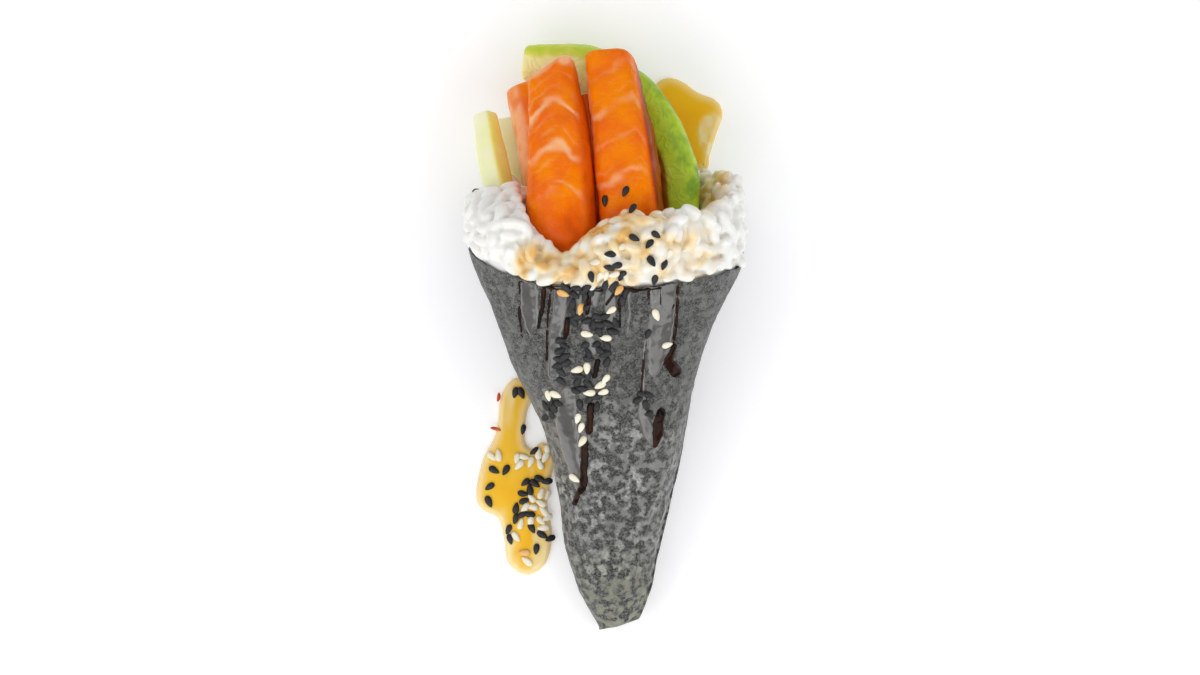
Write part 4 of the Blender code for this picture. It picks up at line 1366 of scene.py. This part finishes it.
def make_pool(name, outline, material):
    """A pool with a rounded edge made of rings, and a gently domed top filled in by triangulation."""
    loop = closed_curve(outline, 9)
    around = len(loop)
    rings = [np.column_stack((inset_loop(loop, POOL_FOOT), np.zeros(around)))]
    for turn in np.linspace(0, math.pi / 2, POOL_EDGE_RINGS):
        inset = POOL_EDGE_INSET * (1 - math.cos(turn))
        z = POOL_FOOT + (POOL_HEIGHT - POOL_FOOT) * math.sin(turn)
        rings.append(np.column_stack((inset_loop(loop, inset), np.full(around, z))))
    rings = np.array(rings)
    top_loop = rings[-1][:, :2]
    low, high = top_loop.min(0), top_loop.max(0)
    gx, gy = np.meshgrid(np.arange(low[0], high[0], POOL_GRID), np.arange(low[1], high[1], POOL_GRID))
    closed = np.vstack((top_loop, top_loop[:1])).tolist()
    far = distance_to_path(gx, gy, closed) > POOL_GRID * 0.6
    inside = np.array([[in_loop(px, py, top_loop) for px, py in zip(*row)] for row in zip(gx, gy)])
    extra = np.column_stack((gx[far & inside], gy[far & inside]))
    flat = [Vector(p) for p in np.vstack((top_loop, extra))]
    border = [(i, (i + 1) % around) for i in range(around)]
    corners, _, triangles, *_ = geometry.delaunay_2d_cdt(flat, border, [], 1, 1e-9)
    corners = np.array([tuple(c) for c in corners])
    depth = distance_to_path(corners[:, 0], corners[:, 1], closed)
    depth[:around] = 0
    top = np.column_stack((corners, POOL_HEIGHT + POOL_DOME * smooth_step(depth / (6 * MM))))
    first = (len(rings) - 1) * around
    faces = grid_quads(len(rings), around) + [[first + i for i in t] for t in triangles]
    faces.append(list(range(around))[::-1])
    every = np.vstack((rings[:-1].reshape(-1, 3), top))
    pool = make_piece(name, every, faces, material)
    outer_loop = np.vstack((loop, loop[:1])).tolist()
    paint(pool, "depth", distance_to_path(every[:, 0], every[:, 1], outer_loop) / MM)
    return pool, every


def in_loop(x, y, loop):
    """Whether a place lies inside a closed loop, by counting crossings."""
    x0, y0 = loop[:, 0], loop[:, 1]
    x1, y1 = np.roll(x0, -1), np.roll(y0, -1)
    crosses = (y0 > y) != (y1 > y)
    at = x0 + (y - y0) / np.where(crosses, y1 - y0, 1) * (x1 - x0)
    return np.count_nonzero(crosses & (x < at)) % 2 == 1


# %% [markdown]
# Both pools have the same kind of finish, each with its own ambers. A painted mask adds what only one of
# them has: painted highlights in pale streaks in the left one, and a painted reflection of a softbox in pale
# facets in the right one.


# %% Pool materials
def make_pool_material(name, rim, body, heart, pale):
    material, tree, shader = new_material(
        name,
        Subsurface_Weight=0.3,
        Subsurface_Scale=2 * MM,
        Roughness=0.12,
        Coat_Weight=0.5,
        Coat_Roughness=0.03,
    )
    shader.inputs["Specular IOR Level"].default_value = 0.2
    shader.inputs["Subsurface Radius"].default_value = (1.0, 0.6, 0.2)
    clouds = use_group(tree, MOTTLE, Scale=130.0, Detail=2.0, Low=0.3, High=0.7).outputs[0]
    inner = add_node(tree, "ShaderNodeMapRange", Value=painted(tree, "depth"), From_Min=0.2, From_Max=2.6)
    deep = add_node(tree, "ShaderNodeMapRange", Value=painted(tree, "depth"), From_Min=2.0, From_Max=7.0)
    heart_share = arithmetic(tree, "MULTIPLY", deep.outputs["Result"], clouds)
    amber = mix_colours(tree, heart_share, body, heart)
    coloured = mix_colours(tree, inner.outputs["Result"], rim, amber)
    # The mask 'pale' mixes in painted highlights on the left pool and a painted reflection on the right one
    coloured = mix_colours(tree, painted(tree, "pale"), coloured, pale)
    tree.links.new(coloured, shader.inputs["Base Color"])
    return material


# The last colour is the left pool's painted highlight and the right pool's painted reflection
left_pool_material = make_pool_material(
    "glaze_left", (1.0, 0.76, 0.42, 1), (1.0, 0.60, 0.050, 1), (0.98, 0.50, 0.010, 1), (1.0, 0.80, 0.42, 1)
)
right_pool_material = make_pool_material(
    "glaze_right", (1.0, 0.70, 0.22, 1), (1.0, 0.56, 0.006, 1), (1.0, 0.47, 0.002, 1), (1.0, 0.84, 0.50, 1)
)
left_pool, left_points = make_pool("glaze_pool_left", LEFT_POOL, left_pool_material)
right_pool, right_points = make_pool("glaze_pool_right", RIGHT_POOL, right_pool_material)
# Painted highlights: pale streaks stretched along the pool
highlight_streaks = 0.75 * smooth_step(noise_at(left_points * (1, 0.35, 1), 3.5 * MM, 2, shift=8.0) / 0.5)
paint(left_pool, "pale", highlight_streaks)
# Painted reflection of a softbox: a patch of pale facets
reflection_patch = np.hypot((right_points[:, 0] / MM - 29.4) / 3.6, (right_points[:, 1] / MM - 54.0) / 6.0)
reflection_facets = [noise.cell(Vector(p)) for p in right_points * (1, 0.7, 0) / (1.6 * MM) + 0.4]
paint(right_pool, "pale", (1 - smooth_step((reflection_patch - 0.8) / 0.3)) * (0.55 + 0.45 * np.array(reflection_facets)))
place(left_pool, "sauce", "sauce_pool_left")
place(right_pool, "sauce", "sauce_pool_right")

# %% [markdown]
# ## Glaze on the nori
# Thin runs of glaze have dried on the nori. They are flat films with rounded edges, which mirror a softbox
# and look grey where the sheet slopes, and where more glaze has gathered they are thick and nearly black.
# The runs are drawn on the plan as strokes of changing width, like a brush, thin ones and thick ones apart.

# %% Strokes of glaze
# Each stroke: points in plan in millimetres with the half width there
FILMS = [
    [(-18.4, 15.6, 2.3), (-18.4, 8.0, 2.4), (-18.0, 3.4, 1.8), (-18.0, 0.6, 0.5)],
    [(-10.2, 14.0, 1.9), (-10.6, 7.0, 1.9), (-11.8, 0.0, 1.7), (-12.2, -9.6, 1.5)],
    [(-8.4, -15.0, 2.2), (-9.0, -22.0, 3.0), (-7.6, -31.0, 2.3), (-6.0, -38.0, 1.4), (-5.2, -41.5, 0.4)],
    [(-5.4, 12.8, 1.4), (-5.8, 6.0, 0.7)],
    [(-1.4, 12.8, 1.6), (-1.6, 8.6, 1.0)],
    [(2.6, 12.4, 1.5), (2.2, 4.4, 1.6)],
    [(-4.2, 3.0, 1.0), (-2.0, -3.6, 1.1)],
    [(13.6, 13.0, 1.3), (13.8, 7.8, 1.2)],
    [(17.0, 13.0, 2.2), (16.8, 6.0, 2.3)],
    [(15.6, 4.4, 3.3), (15.0, -3.0, 3.0), (13.4, -9.0, 1.4)],
    [(11.3, -1.0, 0.3), (11.0, -14.0, 0.35), (10.8, -20.0, 1.3), (12.2, -24.6, 1.7), (13.4, -28.0, 0.5)],
    [(7.0, 11.4, 0.4), (7.4, 6.0, 0.35), (6.8, 1.0, 0.25)],
]
DARK_FILMS = [
    [(-14.6, 14.4, 0.45), (-15.0, 8.0, 0.45), (-16.2, 2.4, 0.3)],
    [(-20.9, 14.0, 0.2), (-21.1, 6.0, 0.25), (-20.4, 0.0, 0.15)],
    [(-12.9, 12.0, 0.2), (-13.8, 4.0, 0.25), (-14.0, -6.0, 0.2)],
    [(-8.6, 4.4, 0.7), (-9.2, 0.0, 0.6)],
    [(-2.6, 11.6, 0.5), (-3.6, 6.0, 0.4)],
    [(3.4, 11.4, 0.8), (1.4, 8.4, 0.5)],
    [(4.6, 9.8, 0.3), (4.9, 2.4, 0.2)],
    [(-0.8, -6.4, 0.6), (-1.6, -10.0, 0.7)],
    [(-2.6, -17.8, 0.8), (-3.1, -24.4, 0.9)],
    [(-4.2, -27.6, 0.85), (-4.6, -38.6, 1.0), (-7.0, -43.6, 0.6)],
    [(18.8, -2.4, 0.7), (17.2, -6.4, 1.4), (19.4, -9.0, 1.5)],
    [(15.6, -19.4, 1.0), (14.6, -24.8, 1.7), (14.0, -28.0, 0.8)],
    [(12.3, 12.0, 0.2), (12.2, 8.4, 0.25)],
    [(15.2, 12.8, 0.3), (15.2, 8.6, 0.4), (17.2, 5.6, 0.3), (18.6, 8.4, 0.3)],
    [(19.8, 12.6, 0.25), (19.4, 3.0, 0.3), (18.6, -2.6, 0.35)],
    [(11.4, -2.0, 0.2), (11.0, -8.0, 0.3), (10.4, -14.0, 0.2)],
]

# %% [markdown]
# A fine grid is laid over the plan. Every point of it that lies inside a stroke is dropped onto the sheet
# below, and the film rises there by its distance from the stroke's border, so that its edge is round.
# Draping follows each crumple of the sheet, which a flat film could not do.

# %% Drape the strokes
FILM_GRID = 0.3 * MM
FILM_EDGE = 0.75 * MM
FILM_ROOT = 0.3 * MM
FILM_SKIRT = 0.45
FILM_MARGIN = 4.0
RAGGED = 0.3
STEEPEST = 0.35
DROPPED_FROM = 80 * MM
DOWN = Vector((0, 0, -1))
RIM_LINE = 0.45
RIM_LINE_DEGREES = range(66, 132, 3)


def inside_strokes(x, y, strokes):
    """How far inside the nearest stroke each place is, in millimetres. It is negative outside."""
    inside = np.full(np.shape(x), -np.inf)
    for stroke in strokes:
        for (x0, y0, r0), (x1, y1, r1) in zip(stroke, stroke[1:]):
            dx, dy = x1 - x0, y1 - y0
            t = np.clip(((x - x0) * dx + (y - y0) * dy) / (dx * dx + dy * dy), 0, 1)
            inside = np.maximum(inside, r0 + t * (r1 - r0) - np.hypot(x - x0 - t * dx, y - y0 - t * dy))
    return inside


def rim_strokes():
    """The thin dark line of glaze that has gathered along the front rim."""
    line = []
    for degrees in RIM_LINE_DEGREES:
        theta = np.array([math.radians(degrees)])
        x, y, _ = section_points(theta, wavy_along(theta, np.ones(1)))[0] / MM
        line.append((x, y - 0.7, RIM_LINE * (0.6 + 0.5 * math.sin(degrees * 0.7) ** 2)))
    return [line]


def drape(name, strokes, tree, material, height):
    """A closed thin film over the surface below, where the strokes are. Its root is sunk in that surface."""
    everything = [p for stroke in strokes for p in stroke]
    low, high = np.min(everything, 0)[:2] - FILM_MARGIN, np.max(everything, 0)[:2] + FILM_MARGIN
    across, down = (np.arange(low[k], high[k], FILM_GRID / MM) for k in range(2))
    gx, gy = np.meshgrid(across, down, indexing="ij")
    inside = inside_strokes(gx, gy, strokes)
    inside = inside + RAGGED * noise_at(np.stack((gx, gy, 0 * gx), -1) * MM, 2.2 * MM, 2, shift=1.0)
    number = np.full(gx.shape, -1)
    top, bottom = [], []
    for i, j in zip(*np.nonzero(inside > -FILM_SKIRT)):
        above = Vector((gx[i, j] * MM, gy[i, j] * MM, DROPPED_FROM))
        spot, normal, _, _ = tree.ray_cast(above, DOWN)
        if spot is None or normal.z < STEEPEST:
            continue
        rounded = math.sqrt(max(0.0, 1 - (1 - min(max(inside[i, j], 0) * MM / FILM_EDGE, 1)) ** 2))
        rise = height * rounded if inside[i, j] > 0 else inside[i, j] * MM / 2
        number[i, j] = len(top)
        top.append(np.array(spot + normal * rise))
        bottom.append(np.array(spot - normal * FILM_ROOT))
    quads = []
    for i in range(gx.shape[0] - 1):
        for j in range(gx.shape[1] - 1):
            corners = [number[i, j], number[i + 1, j], number[i + 1, j + 1], number[i, j + 1]]
            if min(corners) >= 0:
                quads.append([int(c) for c in corners])
    return close_film(name, np.array(top), np.array(bottom), quads, material)


def close_film(name, top, bottom, quads, material):
    """Joins a top and a bottom surface with the same quads by a wall along their border."""
    count = len(top)
    sides = {(a, b) for q in quads for a, b in zip(q, [*q[1:], q[0]])}
    border = [(a, b) for a, b in sides if (b, a) not in sides]
    faces = quads + [[i + count for i in q[::-1]] for q in quads]
    faces += [(b, a, a + count, b + count) for a, b in sorted(border)]
    used = sorted({i for face in faces for i in face})
    renumbered = {old: new for new, old in enumerate(used)}
    faces = [[renumbered[i] for i in face] for face in faces]
    return make_piece(name, np.vstack((top, bottom))[used], faces, material)


# %% [markdown]
# The film is a dark grey with a clear coat, and its shine does the rest. The thick glaze hardly shines,
# because a mirror as bright as the film's would turn its near black into grey.

# %% Films and thick glaze
FILM_HEIGHT = 0.42 * MM
THICK_HEIGHT = 0.6 * MM


def make_film_material():
    material, tree, shader = new_material(
        "glaze_film", Roughness=0.2, Coat_Weight=0.9, Coat_Roughness=0.08, Coat_IOR=1.5, IOR=1.5
    )
    clouds = use_group(tree, MOTTLE, Scale=150.0, Detail=3.0, Low=0.3, High=0.7).outputs[0]
    body = mix_colours(tree, clouds, (0.075, 0.073, 0.068, 1), (0.130, 0.126, 0.118, 1))
    tree.links.new(body, shader.inputs["Base Color"])
    add_bump(tree, shader, clouds, 0.05 * MM, 0.5)
    return material


def make_drop_material():
    """Thick glaze, nearly black, with just a hint of shine."""
    material, tree, shader = new_material("glaze_dark", Roughness=0.12, Specular_IOR_Level=0.12)
    clouds = use_group(tree, MOTTLE, Scale=220.0, Detail=3.0, Low=0.35, High=0.65).outputs[0]
    brown = mix_colours(tree, clouds, (0.006, 0.003, 0.002, 1), (0.030, 0.008, 0.003, 1))
    tree.links.new(brown, shader.inputs["Base Color"])
    add_bump(tree, shader, clouds, 0.2 * MM, 0.8)
    return material


film = drape("glaze_film", FILMS, nori_tree, make_film_material(), FILM_HEIGHT)
drops = drape("glaze_drops", DARK_FILMS + rim_strokes(), nori_tree, make_drop_material(), THICK_HEIGHT)
place(film, "sauce")
place(drops, "sauce")

# %% [markdown]
# ## Sesame and chili
# Black and white sesame lies scattered over the front, the rice and the left pool, with a few toasted
# seeds. Seeds that stand out one by one have their own place. The others lie in small patches, at places
# drawn at random.

# %% Where the seeds lie
# Single seeds: where each lies in plan in millimetres, and which way its blunt end points, in degrees from
# the right
WHITE_ONES = [
    (2.6, 6.9, 50), (-3.6, 0.8, 160), (1.2, -0.2, 0), (14.1, 5.7, 120), (17.0, -2.0, 180),
    (-6.2, -8.4, 20), (-3.6, -8.0, 100), (1.2, -10.8, 60), (-0.2, -12.4, 10), (-3.0, -14.4, 0),
    (0.6, -14.2, 25), (-13.6, -15.2, 100), (-11.7, -14.9, 130), (-6.0, -21.1, 80), (-5.1, -23.5, 70),
    (-4.8, -27.2, 60), (-6.8, -36.9, 140), (-0.3, 15.4, 80), (1.4, 15.6, 75), (3.3, 15.9, 20),
    (6.4, 15.4, 88), (-1.4, 18.9, 10), (5.2, 22.8, 20), (17.2, 21.1, 60),
]
TOASTED_ONES = [(-9.7, 11.2, 150), (-5.3, 7.2, 80), (4.5, 12.0, 65), (-20.4, -57.4, 20)]
BLACK_ONES = [
    (1.1, 35.0, 75), (6.3, 37.4, 70), (8.1, 32.7, 95), (8.4, 25.2, 150), (13.9, 26.1, 165),
    (12.3, 23.6, 75), (2.3, 21.1, 5), (4.0, 18.2, 10), (2.1, 17.7, 15), (7.6, 20.2, 70),
    (12.9, 19.2, 110), (16.0, 18.4, 60), (-2.4, 15.3, 95), (5.4, 15.7, 45), (13.7, 14.7, 90),
    (12.2, 0.8, 60), (-22.8, -14.8, 70), (-21.2, -14.9, 110), (-20.8, -24.6, 75), (-19.2, -28.4, 120),
    (-17.6, -30.4, 20), (-13.2, -30.6, 60), (-28.4, -35.4, 150), (-25.3, -35.4, 50), (-29.6, -39.8, 30),
    (-29.8, -43.8, 95), (-14.4, -38.4, 10), (-24.6, -51.2, 70), (-24.2, -53.8, 95), (-18.4, -50.8, 110),
    (-15.6, -52.6, 160), (-13.6, -53.6, 20), (-17.2, -56.4, 65),
]

# Patches where seeds lie thicker: centre and half sizes in plan in millimetres, and how many
BLACK_PATCHES = [
    ((-6.0, 11.6), (3.6, 1.2), 7),
    ((2.6, 12.6), (1.6, 1.0), 3),
    ((5.8, 10.4), (0.8, 1.2), 2),
    ((-5.4, 6.2), (2.2, 2.4), 6),
    ((0.2, 3.2), (3.6, 2.4), 8),
    ((-1.0, -4.2), (3.2, 2.6), 8),
    ((-10.2, -6.4), (1.2, 5.6), 10),
    ((-4.6, -11.2), (2.0, 3.0), 6),
    ((-3.4, -16.4), (2.4, 1.6), 4),
    ((-12.4, -18.6), (3.0, 2.4), 6),
    ((11.6, -17.6), (2.0, 3.0), 5),
    ((-18.6, -40.6), (2.6, 3.0), 8),
    ((-19.6, -46.8), (3.6, 1.6), 4),
]
WHITE_PATCHES = [
    ((-28.4, -31.2), (2.2, 0.6), 2),
    ((-20.2, -32.6), (2.4, 1.6), 4),
    ((-15.4, -32.4), (1.6, 2.4), 4),
    ((-18.6, -44.0), (1.8, 1.8), 3),
    ((-14.8, -44.6), (1.2, 3.4), 5),
    ((-20.6, -49.4), (2.0, 1.6), 2),
    ((-14.8, -50.0), (1.2, 1.2), 2),
    ((-22.8, -53.8), (0.6, 0.8), 1),
    ((-19.0, -59.6), (0.8, 0.5), 1),
]


# %% [markdown]
# A sesame seed is a flat teardrop about 3 mm long. One stretched ball gives its shape, and each kind of
# seed is one mesh of many copies, so that it can have its own colour. The seeds are dropped from above onto
# whatever is there. In the patches a seed that would land on another is drawn again.

# %% Scatter the seeds
SEED_LENGTH = 3.15 * MM
SEED_WIDTH = 2.15 * MM
SEED_DEPTH = 1.1 * MM
SEED_SPACING = 1.75 * MM
SEED_POINTED = 0.5
SEED_TURN_SPREAD = math.radians(12)
SEED_STEEPEST = 0.3
SEED_LIFTED = 0.3


def seed_shape():
    """A flat teardrop along X with its point at -X."""
    x, y, z = BALL.T
    narrow = 1 - SEED_POINTED * (0.5 - x / 2) ** 1.3
    shape = np.stack((x, y * narrow, z * narrow), -1)
    return shape * np.array((SEED_LENGTH, SEED_WIDTH, SEED_DEPTH)) / 2


def make_seed_material(name, pale, dark, roughness):
    material, tree, shader = new_material(name, Roughness=roughness, Specular_IOR_Level=0.4)
    clouds = use_group(tree, MOTTLE, Scale=400.0, Detail=3.0, Low=0.3, High=0.7).outputs[0]
    tree.links.new(mix_colours(tree, clouds, dark, pale), shader.inputs["Base Color"])
    add_bump(tree, shader, use_group(tree, MOTTLE, Scale=1600.0, Detail=2.0).outputs[0], 0.08 * MM, 0.5)
    return material


def scatter_seeds(name, ones, patches, material, carriers, taken, rng):
    """Drops the single seeds, then those in the patches. Taken lists the places of all seeds so far."""
    shape, placed = seed_shape(), []
    wanted = [(x, y, 0, 0, math.radians(turn), 1) for x, y, turn in ones]
    wanted += [(x, y, half_x, half_y, None, count) for (x, y), (half_x, half_y), count in patches]
    for x, y, half_x, half_y, turn, count in wanted:
        landed = 0
        for _ in range(count * 30):
            if landed == count:
                break
            at_x = x + half_x * rng.uniform(-1, 1)
            at_y = y + half_y * rng.uniform(-1, 1)
            spot, normal, _, _ = carriers.ray_cast(Vector((at_x, at_y, DROPPED_FROM / MM)) * MM, DOWN)
            heading = rng.uniform(0, math.tau) if turn is None else turn + rng.gauss(0, SEED_TURN_SPREAD)
            if spot is None or normal.z < SEED_STEEPEST:
                continue
            if turn is None and any((spot - other).length < SEED_SPACING for other in taken):
                continue
            soft = (normal + Vector((0, 0, 0.6))).normalized()
            along_seed = Vector((math.cos(heading), math.sin(heading), 0))
            along_seed = (along_seed - soft * along_seed.dot(soft)).normalized()
            turned_to = Matrix((along_seed, soft.cross(along_seed), soft)).transposed().to_4x4()
            lifted = Matrix.Translation(spot + soft * SEED_LIFTED * SEED_DEPTH)
            placed.append(moved(shape * rng.uniform(0.92, 1.08), lifted @ turned_to))
            taken.append(spot)
            landed += 1
    points, faces = join_shapes(placed, BALL_FACES)
    print(name, len(placed), "seeds")
    return make_piece(name, points, faces, material)


carriers = mesh_tree(nori, rice, film, drops, left_pool, right_pool, *fillings[:2])
taken = []
seed_rng = random.Random(31)
white_material = make_seed_material("sesame_white", (0.95, 0.90, 0.76, 1), (0.88, 0.80, 0.58, 1), 0.5)
toasted_material = make_seed_material("sesame_toasted", (0.92, 0.60, 0.24, 1), (0.82, 0.42, 0.12, 1), 0.45)
black_material = make_seed_material("sesame_black", (0.022, 0.022, 0.024, 1), (0.010, 0.010, 0.011, 1), 0.42)
white_seeds = scatter_seeds(
    "sesame_white", WHITE_ONES, WHITE_PATCHES, white_material, carriers, taken, seed_rng
)
toasted_seeds = scatter_seeds("sesame_toasted", TOASTED_ONES, [], toasted_material, carriers, taken, seed_rng)
black_seeds = scatter_seeds(
    "sesame_black", BLACK_ONES, BLACK_PATCHES, black_material, carriers, taken, seed_rng
)
place(white_seeds, "sesame_white")
place(toasted_seeds, "sesame_white")
place(black_seeds, "sesame_black")

# %% [markdown]
# Two flakes of dried chili lie at the left edge of the left pool. Each is the same ball as a grain of rice,
# made long, thin and bent, in red with lighter patches.

# %% Chili flakes
# Where each flake lies in plan in millimetres, which way it points in degrees, and how long it is
CHILI_FLAKES = [(-28.0, -24.4, 165, 3.0), (-27.2, -16.0, 80, 2.6)]
FLAKE_WIDTH = 1.0 * MM
FLAKE_DEPTH = 0.5 * MM

chili_material, chili_tree, chili_shader = new_material(
    "chili", Roughness=0.35, Subsurface_Weight=0.2, Subsurface_Scale=1 * MM
)
chili_clouds = use_group(chili_tree, MOTTLE, Scale=500.0, Detail=2.0).outputs[0]
chili_red = mix_colours(chili_tree, chili_clouds, (0.55, 0.06, 0.006, 1), (0.80, 0.22, 0.04, 1))
chili_tree.links.new(chili_red, chili_shader.inputs["Base Color"])
flakes = []
for x, y, turn, length in CHILI_FLAKES:
    flake = BALL * np.array((length * MM, FLAKE_WIDTH, FLAKE_DEPTH)) / 2
    flake[:, 1] += 0.5 * MM * (flake[:, 0] / (length * MM)) ** 2
    spot = Vector((x * MM, y * MM, POOL_HEIGHT))
    flakes.append(moved(flake, Matrix.Translation(spot) @ Matrix.Rotation(math.radians(turn), 4, "Z")))
chili = make_piece("chili_flakes", *join_shapes(flakes, BALL_FACES), chili_material)
place(chili, "chili")
